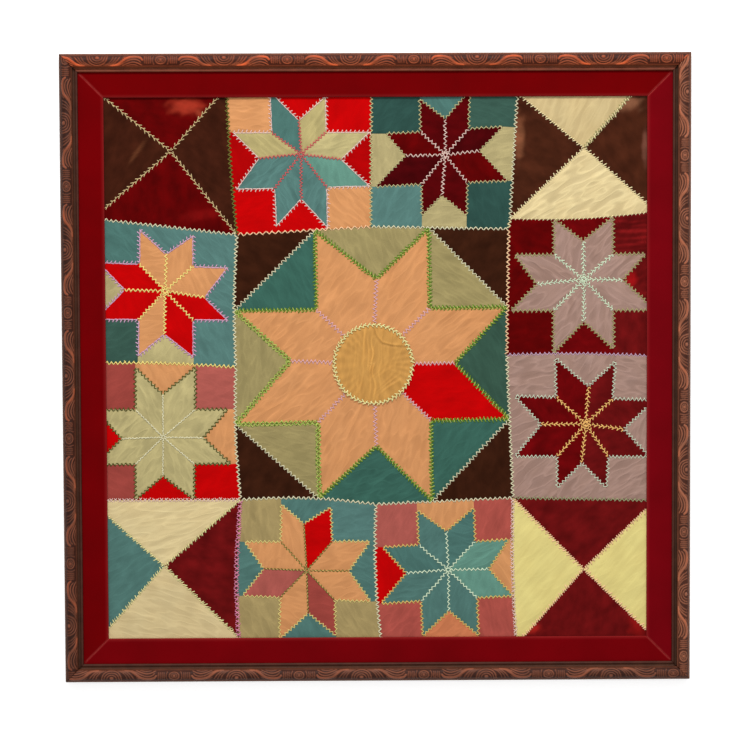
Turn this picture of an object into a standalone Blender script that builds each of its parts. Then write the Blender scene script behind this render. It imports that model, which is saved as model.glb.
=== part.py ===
"""A pieced star quilt top laid flat over a board, with a velvet liner, in a narrow wooden frame.

Units are metres. The frame lies on its back: x runs to the right of the quilt, y towards its
top edge and z out of its face. The origin is on the surface, under the middle of the quilt.
"""

import math

import bmesh
import bpy
import numpy as np

MM = 0.001
GAP = 0.0003

# Driving dimensions, square and concentric, as half widths from the middle
SIGHT_HALF = 0.4065
LIP_HALF = SIGHT_HALF + 0.0378
FRAME_HALF = LIP_HALF + 0.0270
RABBET_HALF = LIP_HALF + 0.0072

# Heights of the stack, from the surface up
BOARD_BOTTOM = 0.0010
BOARD_TOP = 0.0037
QUILT_BOTTOM = BOARD_TOP + GAP
SEAM_TOP = QUILT_BOTTOM + 0.0012
PATCH_EDGE_TOP = SEAM_TOP + 0.0006
PATCH_TOP = SEAM_TOP + 0.0009
CROWN_TOP = SEAM_TOP + 0.0010
LINER_BOTTOM = CROWN_TOP + GAP
LINER_TOP = 0.0110
LIP_BOTTOM = LINER_TOP + GAP

# The rail's face, from the lip's edge outwards, as arcs: distance out and height of the
# centre, radius, first and last angle in degrees from outwards, number of steps
RAIL_ARCS = {
    "bead": (0.0018, 0.0134, 0.0018, 180, 0, 6),
    "cove": (0.0066, 0.0152, 0.0024, 230, 335, 4),
    "carved band": (0.0172, 0.0150, 0.0085, 160, 30, 9),
    "shoulder": (0.0250, 0.0160, 0.0020, 70, 0, 3),
}
RAIL_EASE = 0.0006

# The liner's rolled sight edge, in the same columns, and how far its back is cut under
LINER_ARC = (0.0024, 0.0082, 0.0024, 200, 95, 6)
LINER_UNDERCUT = 0.0016

BOARD_EASE = 0.0005

# Patches are rounded off in two steps on their way down to a seam, each as far from the seam
# as this, but never past half way to the patch's centre
SEAM_SLOPE = 0.0020
PATCH_SLOPE = 0.0060
MOST_SLOPE = 0.5

# A tip this near to the block's edge is taken to reach it, and two places on the edge this
# near to each other are taken to be one
TIP_REACH = 0.0030
TIP_REACH_CENTRE = 0.0090
SAME_PLACE = 0.0015

# The round patch sewn over the middle star
DISC_CENTRE = (-0.005, 0.007)
DISC_RADIUS = 0.0600
DISC_BOTTOM = CROWN_TOP + GAP
DISC_TOP = DISC_BOTTOM + 0.0022
DISC_SIDES = 48
DISC_PUCKER_EVERY = 3
# Its rings from the underside round the rim and up: share of the radius, height over the
# underside, and how deep a pucker is there
DISC_RINGS = (
    (0.985, 0.0000, 0.0000),
    (1.000, 0.0005, 0.0000),
    (0.965, 0.0010, 0.0000),
    (0.880, 0.0018, 0.0003),
    (0.550, 0.0022, 0.0002),
)

# Where the seams between blocks meet, in millimetres from the middle of the quilt.
# Letters are rows from the top edge down, figures are columns from the left edge.
CORNERS = {
    "a0": (-424, 422), "a1": (-223, 422), "a2": (-6, 422), "a3": (213, 422), "a4": (420, 422),
    "b0": (-424, 227), "b1": (-209, 202), "b2": (-8, 213), "b3": (199, 209), "b4": (420, 234),
    "c0": (-424, 10), "c1": (-212, 3), "c3": (196, 20), "c4": (420, 17),
    "d0": (-424, -197), "d1": (-206, -197), "d2": (-2, -205), "d3": (205, -196), "d4": (420, -201),
    "e0": (-424, -420), "e1": (-210, -420), "e2": (6, -420), "e3": (210, -420), "e4": (420, -420),
    "b3_right": (201, 224),
}

# How far the middle of a seam is pushed out of line, in millimetres, where it isn't straight
BOWS = {
    ("a1", "b1"): (-2, 0), ("b1", "c1"): (-3, 0), ("c1", "d1"): (-4, 0), ("d1", "e1"): (-5, 0),
    ("d2", "e2"): (-5, 0), ("d3", "e3"): (-3, 0), ("b3_right", "b4"): (0, -5),
    ("c0", "c1"): (0, 3), ("c3", "c4"): (0, 3), ("d1", "d2"): (0, 6),
}
BOW_STEPS = 6

# The corners round each block, anticlockwise from its top left one
BLOCK_LOOPS = {
    "nw": ("a0", "b0", "b1", "a1"),
    "n1": ("a1", "b1", "b2", "a2"),
    "n2": ("a2", "b2", "b3", "b3_right", "a3"),
    "ne": ("a3", "b3_right", "b4", "a4"),
    "w1": ("b0", "c0", "c1", "b1"),
    "w2": ("c0", "d0", "d1", "c1"),
    "e1": ("b3_right", "b3", "c3", "c4", "b4"),
    "e2": ("c3", "d3", "d4", "c4"),
    "sw": ("d0", "e0", "e1", "d1"),
    "s1": ("d1", "e1", "e2", "d2"),
    "s2": ("d2", "e2", "e3", "d3"),
    "se": ("d3", "e3", "e4", "d4"),
    "centre": ("b1", "c1", "d1", "d2", "d3", "c3", "b3", "b2"),
}

# The stars, in millimetres from the middle of the quilt. Tips go clockwise from the left one
# of the two at the top; notches are the four points between a side's two tips, from the top.
STARS = {
    "n1": dict(
        middle=(-112, 322),
        tips=((-159, 418), (-74, 410), (-7, 355), (-7, 273),
              (-72, 209), (-150, 213), (-210, 269), (-215, 355)),
        notches=((-115, 373), (-51, 314), (-112, 254), (-176, 316))),
    "n2": dict(
        middle=(104, 320),
        tips=((66, 404), (141, 417), (191, 362), (198, 281),
              (136, 229), (69, 229), (-1, 273), (15, 352)),
        notches=((104, 374), (156, 326), (99, 259), (44, 319))),
    "w1": dict(
        middle=(-317, 118),
        tips=((-355, 211), (-274, 202), (-222, 153), (-222, 73),
              (-275, 17), (-359, 19), (-421, 75), (-419, 162)),
        notches=((-315, 174), (-257, 108), (-319, 52), (-379, 120))),
    "w2": dict(
        middle=(-322, -102),
        tips=((-363, 4), (-272, 4), (-224, -60), (-220, -143),
              (-276, -196), (-365, -195), (-422, -143), (-421, -60)),
        notches=((-322, -37), (-261, -103), (-323, -161), (-385, -104))),
    "e1": dict(
        middle=(312, 133),
        tips=((267, 224), (356, 226), (405, 171), (417, 86),
              (357, 28), (266, 24), (202, 86), (208, 170)),
        notches=((311, 191), (371, 132), (312, 69), (241, 126))),
    "e2": dict(
        middle=(315, -85),
        tips=((269, 15), (360, 10), (417, -49), (412, -135),
              (346, -182), (272, -182), (208, -134), (208, -42)),
        notches=((319, -28), (373, -93), (309, -144), (247, -85))),
    "s1": dict(
        middle=(-107, -305),
        tips=((-145, -204), (-70, -209), (-11, -261), (-10, -353),
              (-63, -405), (-149, -410), (-204, -343), (-201, -261)),
        notches=((-111, -234), (-43, -306), (-105, -370), (-172, -302))),
    "s2": dict(
        middle=(107, -305),
        tips=((60, -214), (146, -211), (199, -259), (203, -345),
              (153, -406), (68, -406), (5, -356), (8, -270)),
        notches=((104, -246), (169, -304), (108, -368), (43, -310))),
    "centre": dict(
        middle=(-5, 7),
        tips=((-92, 208), (79, 211), (197, 92), (200, -77),
              (83, -201), (-88, -202), (-208, -83), (-210, 88)),
        notches=((0, 135), (118, 8), (-1, -117), (-130, 12))),
}

# Corner blocks of four triangles: where the two long seams cross and where their ends lie,
# in millimetres, clockwise from the top left end
CROSSES = {
    "nw": dict(middle=(-307, 327), ends=((-424, 422), (-223, 422), (-209, 202), (-424, 227))),
    "ne": dict(middle=(312, 330), ends=((213, 412), (394, 422), (420, 234), (201, 224))),
    "sw": dict(middle=(-322, -297), ends=((-424, -205), (-206, -197), (-211, -406), (-424, -410))),
    "se": dict(middle=(312, -305), ends=((205, -196), (420, -201), (420, -411), (210, -420))),
}

# The colour that covers most of each piece, and how dull it is
PAINT = {
    "rail": ((0.190, 0.045, 0.025), 0.45),
    "liner": ((0.130, 0.000, 0.004), 0.90),
    "board": ((0.420, 0.300, 0.180), 0.80),
    "disc": ((0.640, 0.330, 0.080), 0.60),
    "nw": ((0.110, 0.006, 0.008), 0.85),
    "n1": ((0.520, 0.005, 0.005), 0.80),
    "n2": ((0.080, 0.190, 0.180), 0.70),
    "ne": ((0.720, 0.560, 0.300), 0.60),
    "w1": ((0.095, 0.240, 0.220), 0.70),
    "w2": ((0.470, 0.420, 0.200), 0.75),
    "e1": ((0.380, 0.240, 0.210), 0.60),
    "e2": ((0.120, 0.006, 0.010), 0.85),
    "sw": ((0.720, 0.560, 0.300), 0.60),
    "s1": ((0.660, 0.310, 0.130), 0.60),
    "s2": ((0.080, 0.200, 0.195), 0.70),
    "se": ((0.740, 0.650, 0.240), 0.60),
    "centre": ((0.680, 0.320, 0.130), 0.60),
}


def clear_scene():
    """Remove whatever the new file holds."""
    for old in list(bpy.data.objects):
        bpy.data.objects.remove(old)


def paint(name, key):
    """A plain material in one of the colours above."""
    colour, rough = PAINT[key]
    material = bpy.data.materials.new(name)
    material.use_nodes = True
    shader = material.node_tree.nodes["Principled BSDF"]
    shader.inputs["Base Color"].default_value = (*colour, 1.0)
    shader.inputs["Roughness"].default_value = rough
    shader.inputs["Metallic"].default_value = 0.0
    return material


def add_object(name, mesh, key, location=(0.0, 0.0, 0.0), turn=0.0):
    """Put a mesh in the scene under its own name, with its own material."""
    piece = bpy.data.objects.new(name, mesh)
    mesh.materials.clear()
    mesh.materials.append(paint(name, key))
    piece.location = location
    piece.rotation_euler = (0.0, 0.0, turn)
    bpy.context.scene.collection.objects.link(piece)
    return piece


def finish_mesh(name, bm):
    """Turn a bmesh with closed, outward faces into a mesh."""
    bmesh.ops.recalc_face_normals(bm, faces=bm.faces)
    mesh = bpy.data.meshes.new(name)
    bm.to_mesh(mesh)
    bm.free()
    return mesh


def arc(row):
    """Points round part of a circle, both ends included, from a row of the tables of arcs."""
    out, height, radius, start, stop, steps = row
    angles = np.radians(np.linspace(start, stop, steps + 1))
    return [(out + radius * math.cos(a), height + radius * math.sin(a)) for a in angles]


def rail_profile():
    """The moulding's section, as distance outwards from the lip's edge and height."""
    rabbet = RABBET_HALF - LIP_HALF
    outside = FRAME_HALF - LIP_HALF
    points = [point for row in RAIL_ARCS.values() for point in arc(row)]
    points += [(outside, RAIL_EASE), (outside - RAIL_EASE, 0.0)]
    points += [(rabbet, 0.0), (rabbet, LIP_BOTTOM), (0.0, LIP_BOTTOM)]
    return points


def liner_profile():
    """The liner's section, as distance outwards from its sight edge and height."""
    outside = RABBET_HALF - GAP - SIGHT_HALF
    lip_line = LIP_HALF - SIGHT_HALF
    points = arc(LINER_ARC)
    points += [(lip_line, LINER_TOP), (outside, LINER_TOP)]
    points += [(outside, LINER_BOTTOM), (LINER_UNDERCUT, LINER_BOTTOM)]
    return points


def mitred_bar(name, profile, inner_half):
    """Run a section along the lower side of a square and cut both ends at 45 degrees.

    A point at a distance w from the middle runs from -w to +w, less half a joint's gap.
    """
    joint = GAP / 2 * math.sqrt(2)
    bm = bmesh.new()
    rows = []
    for side in (-1, 1):
        row = []
        for out, height in profile:
            reach = inner_half + out
            row.append(bm.verts.new((side * (reach - joint), -reach, height)))
        rows.append(row)
    count = len(profile)
    for i in range(count):
        j = (i + 1) % count
        bm.faces.new((rows[0][i], rows[0][j], rows[1][j], rows[1][i]))
    bm.faces.new(rows[0])
    bm.faces.new(rows[1])
    return finish_mesh(name, bm)


def add_square_of_bars(kind, profile, inner_half):
    """Four mitred bars round the quilt, each a quarter turn from the last."""
    for quarter, side in enumerate(("bottom", "right", "top", "left")):
        name = f"{kind}_{side}"
        mesh = mitred_bar(name, profile, inner_half)
        add_object(name, mesh, kind, turn=quarter * math.pi / 2)


def add_board():
    """The plain board behind the quilt, with its arrises taken off."""
    half = RABBET_HALF - GAP
    levels = (
        (half - BOARD_EASE, BOARD_BOTTOM),
        (half, BOARD_BOTTOM + BOARD_EASE),
        (half, BOARD_TOP - BOARD_EASE),
        (half - BOARD_EASE, BOARD_TOP),
    )
    bm = bmesh.new()
    rings = []
    for reach, height in levels:
        square = ((-reach, -reach), (reach, -reach), (reach, reach), (-reach, reach))
        rings.append([bm.verts.new((x, y, height)) for x, y in square])
    for low, high in zip(rings, rings[1:]):
        for i in range(4):
            j = (i + 1) % 4
            bm.faces.new((low[i], low[j], high[j], high[i]))
    bm.faces.new(rings[0][::-1])
    bm.faces.new(rings[-1])
    add_object("mount_board", finish_mesh("mount_board", bm), "board")


def add_disc():
    """The round patch: a low dome with a rolled rim, with a shallow pucker at every third point."""
    bm = bmesh.new()
    rows = []
    for share, height, pucker in DISC_RINGS:
        spread = share * DISC_RADIUS
        row = []
        for i in range(DISC_SIDES):
            angle = 2 * math.pi * i / DISC_SIDES
            dip = pucker if i % DISC_PUCKER_EVERY == 0 else 0.0
            place = (spread * math.cos(angle), spread * math.sin(angle), DISC_BOTTOM + height - dip)
            row.append(bm.verts.new(place))
        rows.append(row)
    for low, high in zip(rows, rows[1:]):
        for i in range(DISC_SIDES):
            j = (i + 1) % DISC_SIDES
            bm.faces.new((low[i], low[j], high[j], high[i]))
    close_with_fan(bm, rows[0][::-1], (0.0, 0.0, DISC_BOTTOM))
    close_with_fan(bm, rows[-1], (0.0, 0.0, DISC_TOP))
    mesh = finish_mesh("centre_disc", bm)
    mesh.shade_smooth()
    add_object("centre_disc", mesh, "disc", location=(*DISC_CENTRE, 0.0))


def close_with_fan(bm, ring, middle):
    """Close a ring of points with triangles to one middle point."""
    hub = bm.verts.new(middle)
    for i, here in enumerate(ring):
        bm.faces.new((here, ring[(i + 1) % len(ring)], hub))


def metres(point):
    """A charted point, in metres."""
    return np.array(point, float) * MM


def seam_points(start, end):
    """Points along the seam between two corners, without the last one.

    A bowed seam is the straight line plus its bow times the sine of half a turn.
    """
    first = metres(CORNERS[start])
    last = metres(CORNERS[end])
    bow = BOWS.get((start, end), BOWS.get((end, start)))
    if bow is None:
        return [first]
    shares = np.linspace(0, 1, BOW_STEPS + 1)[:-1]
    return [first + t * (last - first) + metres(bow) * math.sin(math.pi * t) for t in shares]


def shrink(loop, distance):
    """Move every point of an anticlockwise loop inwards along its mitre by a distance."""
    moved = []
    for i, here in enumerate(loop):
        before = here - loop[i - 1]
        after = loop[(i + 1) % len(loop)] - here
        normals = [np.array((-step[1], step[0])) / np.linalg.norm(step) for step in (before, after)]
        mitre = normals[0] + normals[1]
        moved.append(here + mitre * (distance / (1 + normals[0] @ normals[1])))
    return moved


def block_outline(name):
    """The edge of a block, anticlockwise, half a gap inside the seams round it."""
    corners = BLOCK_LOOPS[name]
    loop = []
    for i, corner in enumerate(corners):
        loop += seam_points(corner, corners[(i + 1) % len(corners)])
    return shrink(loop, GAP / 2)


def nearest_on(loop, point):
    """The place on a loop nearest to a point: the side's number, the share along it, the place."""
    best = None
    for i, start in enumerate(loop):
        side = loop[(i + 1) % len(loop)] - start
        share = float(np.clip((point - start) @ side / (side @ side), 0, 1))
        place = start + share * side
        away = float(np.linalg.norm(point - place))
        if best is None or away < best[0]:
            best = (away, i, share, place)
    return best[1:]


def is_outside(loop, side, point):
    """Whether a point lies to the right of one side of an anticlockwise loop."""
    start = loop[side]
    along = loop[(side + 1) % len(loop)] - start
    off = point - start
    return along[0] * off[1] - along[1] * off[0] < 0


class Edge:
    """A block's edge, with the ends of the seams that meet it slotted in between its corners."""

    def __init__(self, outline):
        self.outline = outline
        self.stops = [(i, 0.0, point) for i, point in enumerate(outline)]

    def meet(self, point):
        """Add the place nearest to a point, or take a place that is already there."""
        side, share, place = nearest_on(self.outline, point)
        for _, _, known in self.stops:
            if np.linalg.norm(known - place) < SAME_PLACE:
                return known
        self.stops.append((side, share, place))
        self.stops.sort(key=lambda stop: stop[:2])
        return place

    def walk(self, start, end):
        """The places from one stop to another, anticlockwise, both included."""
        places = [stop[2] for stop in self.stops]
        first = next(i for i, place in enumerate(places) if place is start)
        run = [places[first]]
        while run[-1] is not end:
            first = (first + 1) % len(places)
            run.append(places[first])
        return run


def crossing(a, b, c, d):
    """Where the line through a and b meets the line through c and d."""
    first = b - a
    second = d - c
    turn = first[0] * second[1] - first[1] * second[0]
    share = ((c - a)[0] * second[1] - (c - a)[1] * second[0]) / turn
    return a + share * first


def star_patches(name):
    """The patches of a star block, each an anticlockwise loop of places.

    The square at a corner ends where the lines through the tips cross. A tip that stops short
    of the block's edge is joined to it by a short seam.
    """
    star = STARS[name]
    edge = Edge(block_outline(name))
    reach = TIP_REACH_CENTRE if name == "centre" else TIP_REACH
    middle = metres(star["middle"])
    top, right, bottom, left = [metres(point) for point in star["notches"]]
    feet = []
    tips = []
    for point in star["tips"]:
        tip = metres(point)
        side = nearest_on(edge.outline, tip)[0]
        foot = edge.meet(tip)
        feet.append(foot)
        touches = np.linalg.norm(tip - foot) < reach or is_outside(edge.outline, side, tip)
        tips.append(foot if touches else tip)
    top_left = crossing(tips[0], tips[5], tips[7], tips[2])
    top_right = crossing(tips[1], tips[4], tips[7], tips[2])
    bottom_right = crossing(tips[1], tips[4], tips[6], tips[3])
    bottom_left = crossing(tips[0], tips[5], tips[6], tips[3])
    loops = [
        [middle, top, tips[0], top_left], [middle, top_right, tips[1], top],
        [middle, right, tips[2], top_right], [middle, bottom_right, tips[3], right],
        [middle, bottom, tips[4], bottom_right], [middle, bottom_left, tips[5], bottom],
        [middle, left, tips[6], bottom_left], [middle, top_left, tips[7], left],
    ]
    for notch, first, last in ((top, 1, 0), (right, 3, 2), (bottom, 5, 4), (left, 7, 6)):
        loops.append([notch, tips[first]] + edge.walk(feet[first], feet[last]) + [tips[last]])
    squares = ((top_left, 0, 7), (top_right, 2, 1), (bottom_right, 4, 3), (bottom_left, 6, 5))
    for inner, first, last in squares:
        rim = edge.walk(feet[first], feet[last])
        if name == "centre":
            loops.append([inner, feet[first], feet[last]])
            loops.append(rim)
        else:
            loops.append([inner, tips[first]] + rim + [tips[last]])
    return [without_repeats(loop) for loop in loops], edge


def cross_patches(name):
    """The four triangles of a corner block, each an anticlockwise loop of places."""
    cross = CROSSES[name]
    edge = Edge(block_outline(name))
    middle = metres(cross["middle"])
    ends = [edge.meet(metres(point)) for point in cross["ends"]]
    loops = []
    for first, last in ((1, 0), (2, 1), (3, 2), (0, 3)):
        loops.append([middle] + edge.walk(ends[first], ends[last]))
    return loops, edge


def without_repeats(loop):
    """Drop each place that is the same as the one before it."""
    return [place for i, place in enumerate(loop) if place is not loop[i - 1]]


def centre_of(loop):
    """The centre of the area inside a loop."""
    points = np.array(loop)
    following = np.roll(points, -1, axis=0)
    cross = points[:, 0] * following[:, 1] - points[:, 1] * following[:, 0]
    return ((points + following) * cross[:, None]).sum(axis=0) / (3 * cross.sum())


def clear_radius(loop, centre):
    """How far the centre is from the nearest side, measured square to the side's line."""
    distances = []
    for i, start in enumerate(loop):
        side = loop[(i + 1) % len(loop)] - start
        off = centre - start
        distances.append(abs(side[0] * off[1] - side[1] * off[0]) / np.linalg.norm(side))
    return min(distances)


def raise_patch(bm, corner_vert, loop, origin):
    """Round a patch up from its seams: each ring is the loop shrunk towards its centre."""
    centre = centre_of(loop)
    radius = clear_radius(loop, centre)
    below = [corner_vert(place) for place in loop]
    for slope, height in ((SEAM_SLOPE, PATCH_EDGE_TOP), (PATCH_SLOPE, PATCH_TOP)):
        keep = 1 - min(slope / radius, MOST_SLOPE)
        ring = []
        for place in loop:
            x, y = centre + (place - centre) * keep - origin
            ring.append(bm.verts.new((x, y, height)))
        for i in range(len(ring)):
            j = (i + 1) % len(ring)
            bm.faces.new((below[i], below[j], ring[j], ring[i]))
        below = ring
    close_with_fan(bm, below, (*(centre - origin), CROWN_TOP))


def add_block(name):
    """One pieced block: raised patches on top, a flat back, and a thin wall round the edge."""
    chart = STARS if name in STARS else CROSSES
    loops, edge = star_patches(name) if name in STARS else cross_patches(name)
    origin = metres(chart[name]["middle"])
    bm = bmesh.new()
    verts = {}

    def corner_vert(place):
        """The one point at seam height that all patches share at a place."""
        key = id(place)
        if key not in verts:
            x, y = place - origin
            verts[key] = bm.verts.new((x, y, SEAM_TOP))
        return verts[key]

    for loop in loops:
        raise_patch(bm, corner_vert, loop, origin)
    rim = [stop[2] for stop in edge.stops]
    lower = [bm.verts.new((*(place - origin), QUILT_BOTTOM)) for place in rim]
    for i in range(len(rim)):
        j = (i + 1) % len(rim)
        bm.faces.new((lower[i], lower[j], corner_vert(rim[j]), corner_vert(rim[i])))
    close_with_fan(bm, lower[::-1], (0.0, 0.0, QUILT_BOTTOM))
    add_object(f"block_{name}", finish_mesh(f"block_{name}", bm), name, location=(*origin, 0.0))


clear_scene()
add_square_of_bars("rail", rail_profile(), LIP_HALF)
add_square_of_bars("liner", liner_profile(), SIGHT_HALF)
add_board()
for block in BLOCK_LOOPS:
    add_block(block)
add_disc()
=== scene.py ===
# %% [markdown]
# # A framed star quilt
#
# The object is a pieced quilt top, stretched flat over a board and held in a narrow carved frame with
# a velvet-covered liner. It lies on its back, so x runs to the right of the quilt, y towards its top
# edge and z out of its face. The solid model already has the right places and sizes. This script puts
# the cloth, the hand sewing, the velvet pile and the carving on it.

# %% Load the solid model
import math

import bpy
import numpy as np
from mathutils import Matrix, Vector


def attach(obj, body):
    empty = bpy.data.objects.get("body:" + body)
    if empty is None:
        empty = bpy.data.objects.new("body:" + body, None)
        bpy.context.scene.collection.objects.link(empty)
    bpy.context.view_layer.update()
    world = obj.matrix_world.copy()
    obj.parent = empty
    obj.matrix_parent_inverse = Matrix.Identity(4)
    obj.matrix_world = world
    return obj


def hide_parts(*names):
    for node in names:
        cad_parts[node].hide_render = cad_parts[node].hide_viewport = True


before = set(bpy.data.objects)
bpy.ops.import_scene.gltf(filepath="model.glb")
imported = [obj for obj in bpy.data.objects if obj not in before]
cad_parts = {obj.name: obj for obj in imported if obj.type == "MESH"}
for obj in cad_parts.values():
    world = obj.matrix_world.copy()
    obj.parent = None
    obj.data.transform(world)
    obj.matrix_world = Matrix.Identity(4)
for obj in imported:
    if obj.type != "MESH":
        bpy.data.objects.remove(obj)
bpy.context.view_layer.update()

# %% [markdown]
# ## The camera, the light and the floor
#
# The picture was taken from straight above, from about three metres, with a long lens. The light comes
# mainly from beyond the top edge, which shows in the shadow under the liner's top bar and in the bright
# edge of its bottom bar. A long lens far away keeps the frame's corners nearly square. Its place and
# turn are the least-squares fit to twelve corners of the frame, its lip and the opening, for this lens.

# %% Camera
MM = 0.001
LENS = 96.0
SENSOR = 36.0
CAMERA_AT = (-0.0244, 0.1362, 3.0127)
CAMERA_TURN = Vector((-0.04517, -0.00737, -0.00432))


def add_camera():
    """A camera turned from looking straight down by one rotation, about the turn's own direction."""
    data = bpy.data.cameras.new("camera")
    data.lens = LENS
    data.sensor_width = SENSOR
    data.clip_end = 50.0
    camera = bpy.data.objects.new("camera", data)
    turn = Matrix.Rotation(CAMERA_TURN.length, 4, CAMERA_TURN.normalized())
    camera.matrix_world = Matrix.Translation(CAMERA_AT) @ turn
    bpy.context.scene.collection.objects.link(camera)
    bpy.context.scene.camera = camera


add_camera()
bpy.context.scene.view_settings.view_transform = "Standard"
print("camera at", CAMERA_AT, "lens", LENS)

# %% Light
# Each light: place, size across and deep, power in watts. All point at the middle of the quilt.
LIGHTS = {
    "window": ((0.0, 2.35, 2.10), 2.2, 0.8, 74.0),
    "overhead": ((0.0, -0.6, 3.6), 2.6, 2.6, 22.0),
}
SKY = 0.44


def add_light(name):
    """A soft rectangular light, aimed at the middle of the quilt."""
    place, wide, deep, power = LIGHTS[name]
    data = bpy.data.lights.new(name, "AREA")
    data.shape = "RECTANGLE"
    data.size = wide
    data.size_y = deep
    data.energy = power
    light = bpy.data.objects.new(name, data)
    light.location = place
    light.rotation_euler = (-Vector(place)).to_track_quat("-Z", "Y").to_euler()
    bpy.context.scene.collection.objects.link(light)


for light_name in LIGHTS:
    add_light(light_name)
world = bpy.data.worlds.new("studio")
world.use_nodes = True
world.node_tree.nodes["Background"].inputs["Color"].default_value = (1.0, 1.0, 1.0, 1.0)
world.node_tree.nodes["Background"].inputs["Strength"].default_value = SKY
bpy.context.scene.world = world
print("lights:", list(LIGHTS), "sky:", SKY)

# %% [markdown]
# ## Two tools: one for meshes and one for finishes
#
# Every new piece here is worked out with numpy as whole arrays of points, and handed to Blender in one
# go. A finish is a tree of shader nodes. Writing its sums as Python sums is far easier to read than
# wiring nodes by hand, so a small class wraps a socket and turns each operator into a Math node.


# %% Mesh helpers
def make_mesh(name, points, quads, triangles=()):
    """Points and faces into a mesh: the corners are listed face after face, quads first."""
    quads = np.asarray(quads, np.int32).reshape(-1, 4)
    triangles = np.asarray(triangles, np.int32).reshape(-1, 3)
    corners = np.concatenate([quads.ravel(), triangles.ravel()])
    starts = np.concatenate([4 * np.arange(len(quads)), quads.size + 3 * np.arange(len(triangles))])
    mesh = bpy.data.meshes.new(name)
    mesh.vertices.add(len(points))
    mesh.vertices.foreach_set("co", np.asarray(points, np.float32).ravel())
    mesh.loops.add(len(corners))
    mesh.loops.foreach_set("vertex_index", corners)
    mesh.polygons.add(len(starts))
    mesh.polygons.foreach_set("loop_start", starts.astype(np.int32))
    mesh.update(calc_edges=True)
    mesh.validate()
    mesh.shade_smooth()
    return mesh


def grid_faces(rows, columns, closed=False):
    """Quads of a grid whose points are numbered row by row. Closed joins the last column to the first."""
    row = np.arange(rows - 1)[:, None] * columns
    here = np.arange(columns if closed else columns - 1)[None]
    after = (here + 1) % columns
    faces = np.stack([row + here, row + after, row + columns + after, row + columns + here], axis=2)
    return faces.reshape(-1, 4)


def put_colour(mesh, name, colours):
    """A colour for every corner of every face, in linear light."""
    layer = mesh.color_attributes.new(name, "FLOAT_COLOR", "CORNER")
    alpha = np.ones((len(colours), 1))
    layer.data.foreach_set("color", np.hstack([colours, alpha]).astype(np.float32).ravel())


def put_uv(mesh, name, places):
    """A UV map, one place for every corner of every face."""
    mesh.uv_layers.new(name=name).data.foreach_set("uv", np.asarray(places, np.float32).ravel())


def corner_verts(mesh):
    """The number of the point at every corner of every face."""
    found = np.empty(len(mesh.loops), np.int32)
    mesh.loops.foreach_get("vertex_index", found)
    return found


def add_piece(name, mesh, slot, *nodes, materials):
    """A finished piece at the origin that moves with the frame and stands for the solids named."""
    piece = bpy.data.objects.new(name, mesh)
    bpy.context.scene.collection.objects.link(piece)
    for material in materials:
        mesh.materials.append(material)
    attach(piece, "root")
    if nodes:
        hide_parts(*nodes)
    return piece


def linear(colour):
    """A colour given as screen values from 0 to 255, in linear light."""
    screen = np.asarray(colour, float) / 255
    return np.where(screen <= 0.04045, screen / 12.92, ((screen + 0.055) / 1.055) ** 2.4)


# %% Finish helpers
class Wire:
    """A socket's value in a material. Sums and products of wires add Math nodes."""

    def __init__(self, finish, socket):
        self.finish = finish
        self.socket = socket

    def math(self, operation, first, second=0.0):
        """One Math node on two values."""
        return self.finish.add("ShaderNodeMath", {"operation": operation}, {0: first, 1: second})

    def __add__(self, other):
        return self.math("ADD", self, other)

    def __mul__(self, other):
        return self.math("MULTIPLY", self, other)

    def __sub__(self, other):
        return self.math("SUBTRACT", self, other)

    def __rsub__(self, other):
        return self.math("SUBTRACT", other, self)

    __radd__ = __add__
    __rmul__ = __mul__

    def sine(self):
        """The sine of this value, from -1 to 1."""
        return self.math("SINE", self)

    def size(self):
        """This value without its sign."""
        return self.math("ABSOLUTE", self)

    def clamp(self, low, high):
        """How far this value is from low to high, kept between 0 and 1."""
        settings = {"clamp": True}
        values = {"Value": self, "From Min": low, "From Max": high}
        return self.finish.add("ShaderNodeMapRange", settings, values)


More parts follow.
